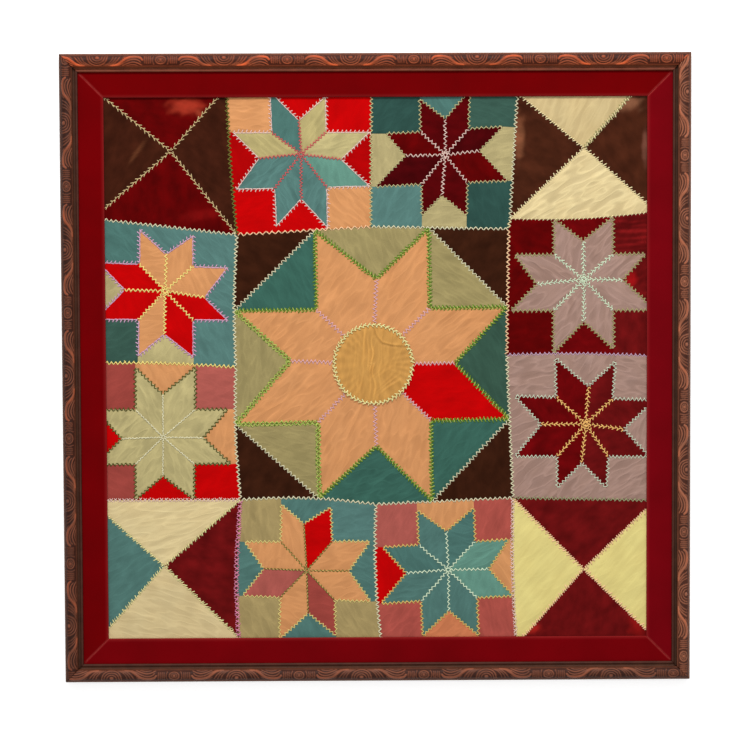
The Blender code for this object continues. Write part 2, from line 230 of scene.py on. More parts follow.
class Finish:
    """A material on one Principled shader. Plain numbers are set straight on its sockets."""

    def __init__(self, name, layout=None, **plain):
        self.layout = layout
        self.material = bpy.data.materials.new(name)
        self.material.use_nodes = True
        self.tree = self.material.node_tree
        self.shader = self.tree.nodes["Principled BSDF"]
        self.fill(self.shader, {key.replace("_", " "): value for key, value in plain.items()})

    def fill(self, node, values):
        """Set or wire the sockets of a node."""
        for key, value in values.items():
            if isinstance(value, Wire):
                self.tree.links.new(value.socket, node.inputs[key])
            else:
                node.inputs[key].default_value = value

    def add(self, kind, settings=None, values=None, output=0):
        """Any node: its settings first, then its sockets. A ramp's stops are (place, grey) pairs."""
        node = self.tree.nodes.new(kind)
        for key, value in (settings or {}).items():
            if key == "stops":
                for element, (place, grey) in zip(node.color_ramp.elements, value):
                    element.position = place
                    element.color = (grey, grey, grey, 1.0)
            else:
                setattr(node, key, value)
        self.fill(node, values or {})
        return Wire(self, node.outputs[output])

    def place(self):
        """Where a point is, in metres: on its own flat layout if it has one, or else on the object."""
        if self.layout:
            return self.add("ShaderNodeUVMap", {"uv_map": self.layout})
        return self.add("ShaderNodeTexCoord", output="Object")

    def stretched(self, lengths, turn=0.0):
        """Where a point is, turned about z and then divided by a length in each direction."""
        values = {"Vector": self.place(), "Scale": lengths, "Rotation": (0.0, 0.0, turn)}
        return self.add("ShaderNodeMapping", {"vector_type": "TEXTURE"}, values)

    def noise(self, scale, detail=2.0, at=None):
        """Soft random values from 0 to 1; scale is how many features fit in a metre."""
        values = {"Vector": at or self.place(), "Scale": scale, "Detail": detail}
        return self.add("ShaderNodeTexNoise", None, values, "Fac")

    def attribute(self, name, output="Color"):
        """A colour or value stored on the mesh."""
        return self.add("ShaderNodeAttribute", {"attribute_name": name}, output=output)

    def mix(self, share, first, second, how="MIX"):
        """Two colours mixed by a share, or the second laid over the first another way."""
        settings = {"data_type": "RGBA", "blend_type": how}
        values = {0: share, 6: first, 7: second}
        return self.add("ShaderNodeMix", settings, values, 2)

    def grey(self, value):
        """A value as a grey colour."""
        return self.add("ShaderNodeCombineColor", None, {0: value, 1: value, 2: value})

    def finish(self, colour, rough, height=None, depth=0.0, strength=1.0):
        """Wire colour, roughness and relief, where depth is the relief's full height in metres."""
        values = {"Base Color": colour, "Roughness": rough}
        if height is not None:
            bump = {"Height": height, "Distance": depth, "Strength": strength}
            values["Normal"] = self.add("ShaderNodeBump", None, bump)
        self.fill(self.shader, values)
        return self.material


# %% [markdown]
# ## The floor
#
# A plain, nearly white sheet of card under everything, so that the picture's ground is white.


# %% Floor
FLOOR_HALF = 4.0
FLOOR_DROP = 0.0002


def add_floor():
    """A flat square under the object, just below the surface that it lies on."""
    shares = np.array([(-1, -1), (1, -1), (1, 1), (-1, 1)])
    corners = np.hstack([FLOOR_HALF * shares, np.full((4, 1), -FLOOR_DROP)])
    mesh = make_mesh("floor", corners, [(0, 1, 2, 3)])
    floor = bpy.data.objects.new("floor", mesh)
    card = Finish("white card", Emission_Color=(1.0, 1.0, 1.0, 1.0), Emission_Strength=0.5)
    tone = card.mix(card.noise(3.0), (0.93, 0.93, 0.93, 1.0), (0.97, 0.97, 0.97, 1.0))
    mesh.materials.append(card.finish(tone, 0.9))
    bpy.context.scene.collection.objects.link(floor)


add_floor()

# %% [markdown]
# ## The pattern of the quilt
#
# The quilt is pieced from thirteen blocks: eight stars of eight diamonds, a corner block of four
# triangles in each corner, and one star of double size in the middle. The seams are hand made, so no
# star is quite regular. Its tips, and the notches between them, are charted in millimetres, and every
# patch is a loop of seams between such places. The places were read off the picture one by one, and
# turned into millimetres on the quilt with the camera above. Some were then moved, so that seams meet,
# and those that the liner hides are guessed. The solid model has the same chart.

# %% The chart
GAP = 0.0003

# Where the seams between blocks meet. Letters are rows from the top edge down, figures are columns
# from the left edge.
CORNERS = {
    "a0": (-424, 422), "a1": (-223, 422), "a2": (-6, 422), "a3": (213, 422), "a4": (420, 422),
    "b0": (-424, 227), "b1": (-209, 202), "b2": (-8, 213), "b3": (199, 209), "b4": (420, 234),
    "c0": (-424, 10), "c1": (-212, 3), "c3": (196, 20), "c4": (420, 17),
    "d0": (-424, -197), "d1": (-206, -197), "d2": (-2, -205), "d3": (205, -196), "d4": (420, -201),
    "e0": (-424, -420), "e1": (-210, -420), "e2": (6, -420), "e3": (210, -420), "e4": (420, -420),
    "b3_right": (201, 224),
}

# How far the middle of a seam is pushed out of line, where it isn't straight
BOWS = {
    ("a1", "b1"): (-2, 0), ("b1", "c1"): (-3, 0), ("c1", "d1"): (-4, 0), ("d1", "e1"): (-5, 0),
    ("d2", "e2"): (-5, 0), ("d3", "e3"): (-3, 0), ("b3_right", "b4"): (0, -5),
    ("c0", "c1"): (0, 3), ("c3", "c4"): (0, 3), ("d1", "d2"): (0, 6),
}
BOW_STEPS = 6

# The corners round each block, anticlockwise from its top left one
BLOCK_LOOPS = {
    "nw": ("a0", "b0", "b1", "a1"),
    "n1": ("a1", "b1", "b2", "a2"),
    "n2": ("a2", "b2", "b3", "b3_right", "a3"),
    "ne": ("a3", "b3_right", "b4", "a4"),
    "w1": ("b0", "c0", "c1", "b1"),
    "w2": ("c0", "d0", "d1", "c1"),
    "e1": ("b3_right", "b3", "c3", "c4", "b4"),
    "e2": ("c3", "d3", "d4", "c4"),
    "sw": ("d0", "e0", "e1", "d1"),
    "s1": ("d1", "e1", "e2", "d2"),
    "s2": ("d2", "e2", "e3", "d3"),
    "se": ("d3", "e3", "e4", "d4"),
    "centre": ("b1", "c1", "d1", "d2", "d3", "c3", "b3", "b2"),
}

# Tips go clockwise from the left one of the two at the top. Notches are the four points between a
# side's two tips, from the top.
STARS = {
    "n1": dict(
        middle=(-112, 322),
        tips=((-159, 418), (-74, 410), (-7, 355), (-7, 273),
              (-72, 209), (-150, 213), (-210, 269), (-215, 355)),
        notches=((-115, 373), (-51, 314), (-112, 254), (-176, 316))),
    "n2": dict(
        middle=(104, 320),
        tips=((66, 404), (141, 417), (191, 362), (198, 281),
              (136, 229), (69, 229), (-1, 273), (15, 352)),
        notches=((104, 374), (156, 326), (99, 259), (44, 319))),
    "w1": dict(
        middle=(-317, 118),
        tips=((-355, 211), (-274, 202), (-222, 153), (-222, 73),
              (-275, 17), (-359, 19), (-421, 75), (-419, 162)),
        notches=((-315, 174), (-257, 108), (-319, 52), (-379, 120))),
    "w2": dict(
        middle=(-322, -102),
        tips=((-363, 4), (-272, 4), (-224, -60), (-220, -143),
              (-276, -196), (-365, -195), (-422, -143), (-421, -60)),
        notches=((-322, -37), (-261, -103), (-323, -161), (-385, -104))),
    "e1": dict(
        middle=(312, 133),
        tips=((267, 224), (356, 226), (405, 171), (417, 86),
              (357, 28), (266, 24), (202, 86), (208, 170)),
        notches=((311, 191), (371, 132), (312, 69), (241, 126))),
    "e2": dict(
        middle=(315, -85),
        tips=((269, 15), (360, 10), (417, -49), (412, -135),
              (346, -182), (272, -182), (208, -134), (208, -42)),
        notches=((319, -28), (373, -93), (309, -144), (247, -85))),
    "s1": dict(
        middle=(-107, -305),
        tips=((-145, -204), (-70, -209), (-11, -261), (-10, -353),
              (-63, -405), (-149, -410), (-204, -343), (-201, -261)),
        notches=((-111, -234), (-43, -306), (-105, -370), (-172, -302))),
    "s2": dict(
        middle=(107, -305),
        tips=((60, -214), (146, -211), (199, -259), (203, -345),
              (153, -406), (68, -406), (5, -356), (8, -270)),
        notches=((104, -246), (169, -304), (108, -368), (43, -310))),
    "centre": dict(
        middle=(-5, 7),
        tips=((-92, 208), (79, 211), (197, 92), (200, -77),
              (83, -201), (-88, -202), (-208, -83), (-210, 88)),
        notches=((0, 135), (118, 8), (-1, -117), (-130, 12))),
}

# Corner blocks: where the two long seams cross and where their ends lie, clockwise from the top left
CROSSES = {
    "nw": dict(middle=(-307, 327), ends=((-424, 422), (-223, 422), (-209, 202), (-424, 227))),
    "ne": dict(middle=(312, 330), ends=((213, 412), (394, 422), (420, 234), (201, 224))),
    "sw": dict(middle=(-322, -297), ends=((-424, -205), (-206, -197), (-211, -406), (-424, -410))),
    "se": dict(middle=(312, -305), ends=((205, -196), (420, -201), (420, -411), (210, -420))),
}

# A tip this near to the block's edge is taken to reach it, and two places on the edge this near to
# each other are taken to be one
TIP_REACH = 0.0030
TIP_REACH_CENTRE = 0.0090
SAME_PLACE = 0.0015
# The sides of the big star's outline, from its top left notch on, that are sewn with lighter loops
LOOPED_SIDES = (11, 15)
print("blocks:", len(BLOCK_LOOPS), "stars:", len(STARS))


# %% Seams round a block
def metres(point):
    """A charted point, in metres."""
    return np.array(point, float) * MM


def seam_points(start, end):
    """Points along the seam between two corners, without the last one.

    A bowed seam is the straight line plus its bow times the sine of half a turn.
    """
    first = metres(CORNERS[start])
    last = metres(CORNERS[end])
    bow = BOWS.get((start, end), BOWS.get((end, start)))
    if bow is None:
        return [first]
    shares = np.linspace(0, 1, BOW_STEPS + 1)[:-1]
    return [first + t * (last - first) + metres(bow) * math.sin(math.pi * t) for t in shares]


def shrink(loop, distance):
    """Move every point of an anticlockwise loop inwards along its mitre by a distance."""
    moved = []
    for i, here in enumerate(loop):
        before = here - loop[i - 1]
        after = loop[(i + 1) % len(loop)] - here
        normals = [np.array((-step[1], step[0])) / np.linalg.norm(step) for step in (before, after)]
        mitre = normals[0] + normals[1]
        moved.append(here + mitre * (distance / (1 + normals[0] @ normals[1])))
    return moved


def block_outline(name):
    """The edge of a block, anticlockwise, half a gap inside the seams round it."""
    corners = BLOCK_LOOPS[name]
    loop = []
    for i, corner in enumerate(corners):
        loop += seam_points(corner, corners[(i + 1) % len(corners)])
    return shrink(loop, GAP / 2)


def nearest_on(loop, point):
    """The place on a loop nearest to a point: the side's number, the share along it, the place."""
    best = None
    for i, start in enumerate(loop):
        side = loop[(i + 1) % len(loop)] - start
        share = float(np.clip((point - start) @ side / (side @ side), 0, 1))
        place = start + share * side
        away = float(np.linalg.norm(point - place))
        if best is None or away < best[0]:
            best = (away, i, share, place)
    return best[1:]


def is_outside(loop, side, point):
    """Whether a point lies to the right of one side of an anticlockwise loop."""
    start = loop[side]
    along = loop[(side + 1) % len(loop)] - start
    off = point - start
    return along[0] * off[1] - along[1] * off[0] < 0


class Edge:
    """A block's edge, with the ends of the seams that meet it slotted in between its corners."""

    def __init__(self, outline):
        self.outline = outline
        self.stops = [(i, 0.0, point) for i, point in enumerate(outline)]

    def meet(self, point):
        """Add the place nearest to a point, or take a place that is already there."""
        side, share, place = nearest_on(self.outline, point)
        for _, _, known in self.stops:
            if np.linalg.norm(known - place) < SAME_PLACE:
                return known
        self.stops.append((side, share, place))
        self.stops.sort(key=lambda stop: stop[:2])
        return place

    def walk(self, start, end):
        """The places from one stop to another, anticlockwise, both included."""
        places = [stop[2] for stop in self.stops]
        first = next(i for i, place in enumerate(places) if place is start)
        run = [places[first]]
        while run[-1] is not end:
            first = (first + 1) % len(places)
            run.append(places[first])
        return run


def crossing(a, b, c, d):
    """Where the line through a and b meets the line through c and d."""
    first = b - a
    second = d - c
    turn = first[0] * second[1] - first[1] * second[0]
    share = ((c - a)[0] * second[1] - (c - a)[1] * second[0]) / turn
    return a + share * first


# %% [markdown]
# ## From seams to patches
#
# A star block gives eight diamonds, four triangles between the points and four squares in the corners.
# The same places give the lines to be sewn over: the seams inside the star, the star's own outline and
# the short joins to the block's edge. Working out patches and sewing lines together keeps the thread
# exactly on the seam. Two kinds of line stand apart, because they are sewn another way: the looped
# sides of the big star, and the upper right seam of a corner block, which may be sewn over twice.


# %% Patches and sewing lines
def without_repeats(loop):
    """Drop each place that is the same as the one before it."""
    return [place for i, place in enumerate(loop) if place is not loop[i - 1]]


def star_block(name):
    """The patches of a star block, as anticlockwise loops, its edge, and its lines of sewing."""
    star = STARS[name]
    edge = Edge(block_outline(name))
    reach = TIP_REACH_CENTRE if name == "centre" else TIP_REACH
    middle = metres(star["middle"])
    top, right, bottom, left = [metres(point) for point in star["notches"]]
    feet = []
    tips = []
    for point in star["tips"]:
        tip = metres(point)
        side = nearest_on(edge.outline, tip)[0]
        foot = edge.meet(tip)
        feet.append(foot)
        touches = np.linalg.norm(tip - foot) < reach or is_outside(edge.outline, side, tip)
        tips.append(foot if touches else tip)
    top_left = crossing(tips[0], tips[5], tips[7], tips[2])
    top_right = crossing(tips[1], tips[4], tips[7], tips[2])
    bottom_right = crossing(tips[1], tips[4], tips[6], tips[3])
    bottom_left = crossing(tips[0], tips[5], tips[6], tips[3])
    loops = [
        [middle, top, tips[0], top_left], [middle, top_right, tips[1], top],
        [middle, right, tips[2], top_right], [middle, bottom_right, tips[3], right],
        [middle, bottom, tips[4], bottom_right], [middle, bottom_left, tips[5], bottom],
        [middle, left, tips[6], bottom_left], [middle, top_left, tips[7], left],
    ]
    for notch, first, last in ((top, 1, 0), (right, 3, 2), (bottom, 5, 4), (left, 7, 6)):
        loops.append([notch, tips[first]] + edge.walk(feet[first], feet[last]) + [tips[last]])
    squares = ((top_left, 0, 7), (top_right, 2, 1), (bottom_right, 4, 3), (bottom_left, 6, 5))
    corners = []
    for inner, first, last in squares:
        rim = edge.walk(feet[first], feet[last])
        if name == "centre":
            loops.append([inner, feet[first], feet[last]])
            loops.append(rim)
            corners.append([feet[first], feet[last]])
        else:
            loops.append([inner, tips[first]] + rim + [tips[last]])
    inner_ends = (top, top_right, right, bottom_right, bottom, bottom_left, left, top_left)
    ring = [top_left, tips[0], top, tips[1], top_right, tips[2], right, tips[3],
            bottom_right, tips[4], bottom, tips[5], bottom_left, tips[6], left, tips[7]]
    outline = [[place, ring[(i + 1) % len(ring)]] for i, place in enumerate(ring)]
    first, last = LOOPED_SIDES if name == "centre" else (0, 0)
    lines = {
        "inner": [[middle, end] for end in inner_ends],
        "outer": outline[:first] + outline[last:],
        "looped": outline[first:last],
        "corner": corners,
    }
    return [without_repeats(loop) for loop in loops], edge, lines


def cross_block(name):
    """The four triangles of a corner block, as anticlockwise loops, its edge, and its sewing."""
    cross = CROSSES[name]
    edge = Edge(block_outline(name))
    middle = metres(cross["middle"])
    ends = [edge.meet(metres(point)) for point in cross["ends"]]
    loops = []
    for first, last in ((1, 0), (2, 1), (3, 2), (0, 3)):
        loops.append([middle] + edge.walk(ends[first], ends[last]))
    arms = [[ends[0], middle], [middle, ends[1]], [ends[2], middle], [middle, ends[3]]]
    return loops, edge, {"inner": [arm[::-1] for arm in arms], "upper right": [arms[1]]}


BLOCKS = {name: (star_block if name in STARS else cross_block)(name) for name in BLOCK_LOOPS}
print("patches:", sum(len(loops) for loops, _, _ in BLOCKS.values()))

# %% [markdown]
# ## The cloths
#
# The patches are scraps of three sorts of cloth. Velvet, in dark brown and dark red, swallows light and
# glows at a slant. Satin, in cream, yellow, peach and mauve, is smooth and shows every wrinkle.
# Crepe, in teal, khaki, rose and bright red, is dull and even. Each sort is one material, and the dye
# of each patch, with painted highlight and shade on its folds, is a colour stored on the mesh.

# %% Dyes and who wears them
# Each dye: its colour as it looks on the screen, and the cloth. The colours were given and then
# corrected by what was measured on the picture, patch by patch.
DYES = {
    "scarlet": ((193, 1, 3), "crepe"),
    "deep scarlet": ((171, 1, 3), "crepe"),
    "wine": ((102, 4, 7), "velvet"),
    "dusty wine": ((103, 15, 16), "velvet"),
    "deep wine": ((91, 2, 3), "velvet"),
    "dark wine": ((82, 3, 6), "velvet"),
    "plum": ((68, 3, 6), "velvet"),
    "brown": ((68, 32, 18), "velvet"),
    "deep brown": ((60, 26, 14), "velvet"),
    "dark brown": ((55, 26, 13), "velvet"),
    "teal": ((76, 115, 108), "crepe"),
    "dull teal": ((81, 119, 112), "crepe"),
    "deep teal": ((46, 78, 71), "crepe"),
    "dull deep teal": ((58, 89, 78), "crepe"),
    "sea": ((58, 100, 88), "crepe"),
    "deep sea": ((56, 86, 72), "crepe"),
    "pale teal": ((86, 124, 118), "crepe"),
    "light teal": ((100, 146, 130), "crepe"),
    "khaki": ((178, 164, 116), "crepe"),
    "light khaki": ((187, 174, 122), "crepe"),
    "warm khaki": ((181, 167, 113), "crepe"),
    "sand": ((158, 144, 96), "crepe"),
    "tan": ((167, 147, 98), "crepe"),
    "peach": ((213, 149, 96), "satin"),
    "orange": ((206, 124, 82), "satin"),
    "mauve": ((165, 134, 123), "satin"),
    "rose": ((159, 70, 62), "crepe"),
    "warm rose": ((174, 82, 72), "crepe"),
    "light rose": ((174, 90, 81), "crepe"),
    "cream": ((222, 203, 153), "satin"),
    "old cream": ((214, 194, 146), "satin"),
    "aged cream": ((205, 184, 135), "satin"),
    "yellow": ((228, 214, 137), "satin"),
    "mustard": ((212, 157, 82), "satin"),
}

# A star's cloths: its diamonds clockwise from the left one of the two at the top, then its
# triangles from the top, then its squares from the top left one
CLOTHS = {
    "n1": ("teal", "warm khaki", "light khaki", "light teal", "pale teal", "pale teal", "pale teal",
           "warm khaki",
           "scarlet", "deep scarlet", "scarlet", "deep scarlet",
           "peach", "scarlet", "peach", "scarlet"),
    "n2": ("dark wine", "dark wine", "plum", "deep wine", "dark wine", "dark wine", "plum", "deep wine",
           "teal", "khaki", "khaki", "khaki", "deep teal", "dull deep teal", "deep teal", "pale teal"),
    "w1": ("peach", "peach", "peach", "scarlet", "scarlet", "peach", "scarlet", "scarlet",
           "pale teal", "pale teal", "light khaki", "khaki",
           "teal", "pale teal", "pale teal", "dull deep teal"),
    "w2": ("light khaki",) * 8 + ("peach", "peach", "scarlet", "scarlet",
                                  "rose", "light rose", "scarlet", "rose"),
    "e1": ("mauve",) * 8 + ("wine", "dusty wine", "wine", "deep wine",
                            "deep wine", "dusty wine", "dusty wine", "deep wine"),
    "e2": ("wine", "dusty wine", "dusty wine", "dusty wine",
           "dusty wine", "wine", "wine", "wine") + ("mauve",) * 8,
    "s1": ("peach", "scarlet", "peach", "peach", "rose", "peach", "light rose", "peach",
           "dull teal", "dull teal", "dull teal", "dull teal", "tan", "pale teal", "tan", "tan"),
    "s2": ("dull teal", "teal", "light teal", "light teal", "dull teal", "dull teal", "dull teal", "teal",
           "peach", "peach", "orange", "scarlet",
           "light rose", "warm rose", "warm rose", "warm rose"),
    "centre": ("peach", "peach", "peach", "scarlet", "peach", "peach", "peach", "peach",
               "sand", "deep sea", "sea", "sand",
               "sea", "dark brown", "sand", "dark brown",
               "sea", "dark brown", "sand", "dark brown"),
    "nw": ("deep wine", "deep brown", "deep wine", "deep brown"),
    "ne": ("aged cream", "brown", "cream", "brown"),
    "sw": ("cream", "dusty wine", "old cream", "dull teal"),
    "se": ("dusty wine", "yellow", "dusty wine", "yellow"),
}
CLOTH_ORDER = ("velvet", "satin", "crepe")

# Folds that show on the picture: block, patch, way the folds run in degrees, their spacing and
# height in millimetres, and how much lighter the dye is painted on their crests, a painted highlight
# that also paints their troughs darker as painted shade
FOLDS = (
    ("ne", 2, 28, 14, 0.75, 0.08), ("ne", 0, 60, 22, 0.40, 0.05),
    ("sw", 0, 14, 13, 0.48, 0.06), ("sw", 2, -20, 22, 0.40, 0.05),
    ("se", 1, 38, 30, 0.20, 0.00), ("se", 3, 38, 30, 0.20, 0.00),
    ("e1", 13, 2, 9, 0.50, 1.20), ("e1", 9, 20, 12, 0.40, 0.50),
    ("e1", 0, 75, 11, 0.80, 0.08), ("e1", 1, 48, 11, 0.80, 0.08), ("e1", 2, 40, 11, 0.80, 0.08),
    ("e1", 3, -30, 11, 0.70, 0.08), ("e1", 4, 80, 11, 0.70, 0.08), ("e1", 5, 60, 11, 0.80, 0.08),
    ("e1", 6, 35, 11, 0.70, 0.08), ("e1", 7, -35, 11, 0.90, 0.08),
    ("e2", 8, 60, 10, 0.80, 0.08), ("e2", 12, 8, 9, 0.90, 0.08), ("e2", 13, -12, 10, 0.80, 0.08),
    ("e2", 9, 70, 10, 0.70, 0.08), ("e2", 10, 40, 10, 0.80, 0.08), ("e2", 11, 30, 10, 0.80, 0.08),
    ("e2", 15, 40, 10, 0.80, 0.08), ("e2", 14, 30, 10, 0.80, 0.08),
    ("centre", 7, 44, 13, 0.55, 0.10), ("centre", 6, 40, 13, 0.50, 0.10),
    ("centre", 5, 62, 13, 0.55, 0.10), ("centre", 2, 35, 14, 0.50, 0.10),
    ("centre", 4, 70, 15, 0.50, 0.08), ("centre", 0, 50, 16, 0.45, 0.08),
    ("centre", 1, 50, 16, 0.45, 0.08), ("centre", 10, 25, 13, 0.70, 0.10),
    ("centre", 8, 110, 14, 0.60, 0.08), ("centre", 11, 80, 14, 0.60, 0.08),
    ("n1", 1, 60, 12, 0.50, 0.10), ("n1", 2, 20, 12, 0.50, 0.10), ("n1", 7, -40, 12, 0.50, 0.10),
    ("n1", 4, 70, 13, 0.80, 0.12), ("n1", 5, -60, 13, 0.80, 0.12), ("n1", 6, 35, 13, 0.90, 0.12),
    ("w2", 0, -60, 12, 0.70, 0.08), ("w2", 2, 35, 12, 0.70, 0.08), ("w2", 6, 40, 12, 0.80, 0.08),
    ("w2", 1, 62, 12, 0.70, 0.08), ("w2", 3, -40, 12, 0.60, 0.08), ("w2", 4, -62, 12, 0.70, 0.08),
    ("w2", 5, 60, 12, 0.60, 0.08), ("w2", 7, 48, 12, 0.90, 0.10),
)
# Slighter folds on every other patch, by dye or else by cloth, in the same last three columns.
# They run any way.
SLIGHT_FOLDS = {
    "scarlet": (11, 0.14, 0.03), "deep scarlet": (11, 0.14, 0.03),
    "rose": (11, 0.22, 0.04), "light rose": (11, 0.30, 0.05),
    "satin": (13, 0.45, 0.07), "crepe": (11, 0.48, 0.08), "velvet": (18, 0.12, 0.10),
}

# Rubbed and faded places: block, patch, place and half size in millimetres, the turn in degrees,
# colour, strength
RUBBED = (
    ("nw", 0, (-284, 394), (25, 12), 0, (168, 54, 36), 0.80),
    ("nw", 0, (-262, 382), (10, 5), -40, (166, 66, 44), 0.70),
    ("nw", 2, (-262, 232), (34, 8), 8, (150, 22, 20), 0.25),
    ("nw", 3, (-357, 326), (3, 22), -36, (108, 62, 38), 0.60),
    ("ne", 3, (214, 345), (9, 30), 0, (136, 82, 55), 0.85),
    ("ne", 1, (372, 398), (26, 12), 0, (140, 92, 66), 0.75),
    ("ne", 1, (404, 330), (5, 26), 0, (130, 82, 66), 0.60),
    ("e1", 9, (384, 133), (9, 11), 0, (176, 18, 22), 0.70),
    ("se", 2, (230, -395), (16, 7), 0, (172, 36, 26), 0.70),
    ("se", 2, (396, -388), (14, 26), 0, (158, 22, 20), 0.60),
)
print("dyes:", len(DYES), "folds:", len(FOLDS))

# %% [markdown]
# ## A patch as a surface
#
# A pieced patch is a low pillow: it starts in the groove of the seam, swells up within a few
# millimetres and is nearly flat in the middle. The grid for it runs round the patch in one direction
# and from the seam to the middle in the other. Each ring is the seam loop shrunk towards the patch's
# centre, and the rings lie close together near the seam, where the cloth bends most. The height comes
# from each point's true distance to the nearest seam, so it doesn't depend on the rings.

# %% Heights of the cloth
QUILT_BOTTOM = 0.0040
SEAM_TOP = 0.0053
PATCH_RISE = 0.00072
SEAM_SOFT = 0.0022
CROWN = 0.00015
CROWN_REACH = 0.025
SIGHT_HALF = 0.4065
COVERED_DEPTH = 0.012

# How far the dye of each cloth drifts from place to place, most on velvet, and the drift's waves
DYE_DRIFT = {"velvet": 0.12, "satin": 0.035, "crepe": 0.035}
DRIFT_WAVE = 40

# The cloth is free to rise this far from a seam. Ripples: height and length, in millimetres.
# Gathers stand across a seam: their height in millimetres, then pitch and reach in metres.
FREE_FROM = 0.004
RIPPLE = 0.10
RIPPLE_WAVE = 34
GATHER = 0.13
GATHER_PITCH = 0.0125
GATHER_REACH = 0.008
GATHER_WAVE = 30

GRID_STEP = 0.0037
RING_DEPTHS = np.array((0.0, 0.0009, 0.0021, 0.0038, 0.0060))


def swell(depth):
    """The height over the seam: it nears its full value by one part in e each SEAM_SOFT."""
    return PATCH_RISE * (1 - np.exp(-depth / SEAM_SOFT)) + CROWN * (1 - np.exp(-depth / CROWN_REACH))


def clouds(x, y, wave, seed):
    """Smooth random values from about -1 to 1: eight sine waves of one length, from random sides."""
    draw = np.random.default_rng(seed)
    total = np.zeros_like(x)
    for _ in range(8):
        turn, start = draw.uniform(0, 2 * math.pi, 2)
        length = wave * draw.uniform(0.7, 1.4)
        total += np.sin(2 * math.pi * (x * math.cos(turn) + y * math.sin(turn)) / length + start)
    return total / 4


def creases(x, y, turn, wave, seed):
    """Folds that run one way, from 0 to 1: a sine across them, bent by clouds and sharpened.

    They come and go along their length, as another cloud opens and shuts them.
    """
    angle = math.radians(turn)
    across = -x * math.sin(angle) + y * math.cos(angle)
    along = x * math.cos(angle) + y * math.sin(angle)
    bend = 0.45 * clouds(along * 0.35, across, 3.0 * wave, seed)
    sine = 0.5 + 0.5 * np.sin(2 * math.pi * (across / wave + bend))
    gate = np.clip(0.55 + 0.6 * clouds(along * 0.5, across * 1.3, 3.5 * wave, seed + 1), 0, 1)
    return sine**2.2 * gate


def cloth_of(block, number):
    """The sort of cloth of one patch."""
    return DYES[CLOTHS[block][number]][1]


def folds_of(block, number):
    """The folds charted for a patch, or else the slight ones of its cloth, in a seeded direction."""
    charted = [row[2:] for row in FOLDS if row[:2] == (block, number)]
    draw = np.random.default_rng(70 * list(BLOCK_LOOPS).index(block) + number)
    dye = CLOTHS[block][number]
    slight = SLIGHT_FOLDS.get(dye, SLIGHT_FOLDS[DYES[dye][1]])
    return charted or [(draw.uniform(0, 180), *slight)]


def walk_sides(loop):
    """Points round a loop. Each side is cut evenly, so patches that share a side share its points."""
    runs = []
    for i, start in enumerate(loop):
        side = loop[(i + 1) % len(loop)] - start
        parts = max(1, math.ceil(np.linalg.norm(side) / GRID_STEP - 0.01))
        runs.append(start + (np.arange(parts) / parts)[:, None] * side)
    return np.concatenate(runs)


def centre_of(loop):
    """The centre of the area inside a loop."""
    points = np.array(loop)
    following = np.roll(points, -1, axis=0)
    cross = points[:, 0] * following[:, 1] - points[:, 1] * following[:, 0]
    return ((points + following) * cross[:, None]).sum(axis=0) / (3 * cross.sum())


def loop_area(loop):
    """The area inside a loop, by the sum of cross products round it."""
    points = np.array(loop)
    following = np.roll(points, -1, axis=0)
    return float((points[:, 0] * following[:, 1] - points[:, 1] * following[:, 0]).sum() / 2)


def seam_distance(points, loop):
    """How far each point is from a loop, and how far along the loop its nearest place is."""
    starts = np.array(loop)
    sides = np.roll(starts, -1, axis=0) - starts
    lengths = np.linalg.norm(sides, axis=1)
    off = points[:, None] - starts[None]
    shares = np.clip((off * sides).sum(axis=2) / lengths**2, 0, 1)
    away = np.linalg.norm(off - shares[:, :, None] * sides, axis=2)
    best = away.argmin(axis=1)
    row = np.arange(len(points))
    begun = np.cumsum(lengths) - lengths
    return away[row, best], begun[best] + shares[row, best] * lengths[best]


def patch_surface(block, number, loop):
    """One patch: points, quads, triangles, and how light the dye is at each point: its random drift, with
    painted highlight and shade on its folds.

    The grid's point (ring, step) is centre + (seam point - centre) * ring's share.
    """
    rim = walk_sides(loop)
    centre = centre_of(loop)
    size = np.linalg.norm(rim - centre, axis=1).mean()
    near = 1 - RING_DEPTHS[RING_DEPTHS < 0.5 * size] / size
    rings = max(2, math.ceil(near[-1] * size / GRID_STEP))
    shares = np.concatenate([near, np.linspace(near[-1], 0, rings + 1)[1:-1]])
    flat = centre + (rim - centre)[None] * shares[:, None, None]
    flat = np.vstack([flat.reshape(-1, 2), centre])
    depth, along = seam_distance(flat, loop)
    x, y = (flat / MM).T
    seed = 1000 * list(BLOCK_LOOPS).index(block) + 10 * number
    inside = 1 - np.exp(-depth / FREE_FROM)
    uneven = 0.25 * clouds(x, y, GATHER_WAVE, seed + 5)
    gathers = np.sin(2 * math.pi * (along / GATHER_PITCH + uneven))
    relief = RIPPLE * inside * clouds(x, y, RIPPLE_WAVE, seed)
    relief += GATHER * gathers * inside * np.exp(-depth / GATHER_REACH)
    light = 1 + DYE_DRIFT[cloth_of(block, number)] * clouds(x, y, DRIFT_WAVE, seed + 3)
    # Each fold also paints the dye lighter on its crests and darker in its troughs: painted highlight and
    # painted shade.
    for turn, wave, height, crest_highlight in folds_of(block, number):
        fold = inside * (creases(x, y, turn, wave, seed + 7) - 0.2)
        relief += height * fold
        light += crest_highlight * fold
    covered = (SIGHT_HALF - np.abs(flat).max(axis=1)) / COVERED_DEPTH
    z = SEAM_TOP + swell(depth) + relief * MM * np.clip(covered, 0, 1)
    quads = grid_faces(len(shares), len(rim), closed=True)
    last = (len(shares) - 1) * len(rim)
    steps = np.arange(len(rim))
    hub = np.full(len(rim), len(flat) - 1)
    fan = np.column_stack([last + steps, last + (steps + 1) % len(rim), hub])
    return np.column_stack([flat, z]), quads, fan, light


# %% Cloth materials
def pile(finish, scale):
    """Fine upright pile: two noises, one of them much finer."""
    return finish.noise(scale, 3.0) * 0.6 + finish.noise(scale * 3.1, 2.0) * 0.4


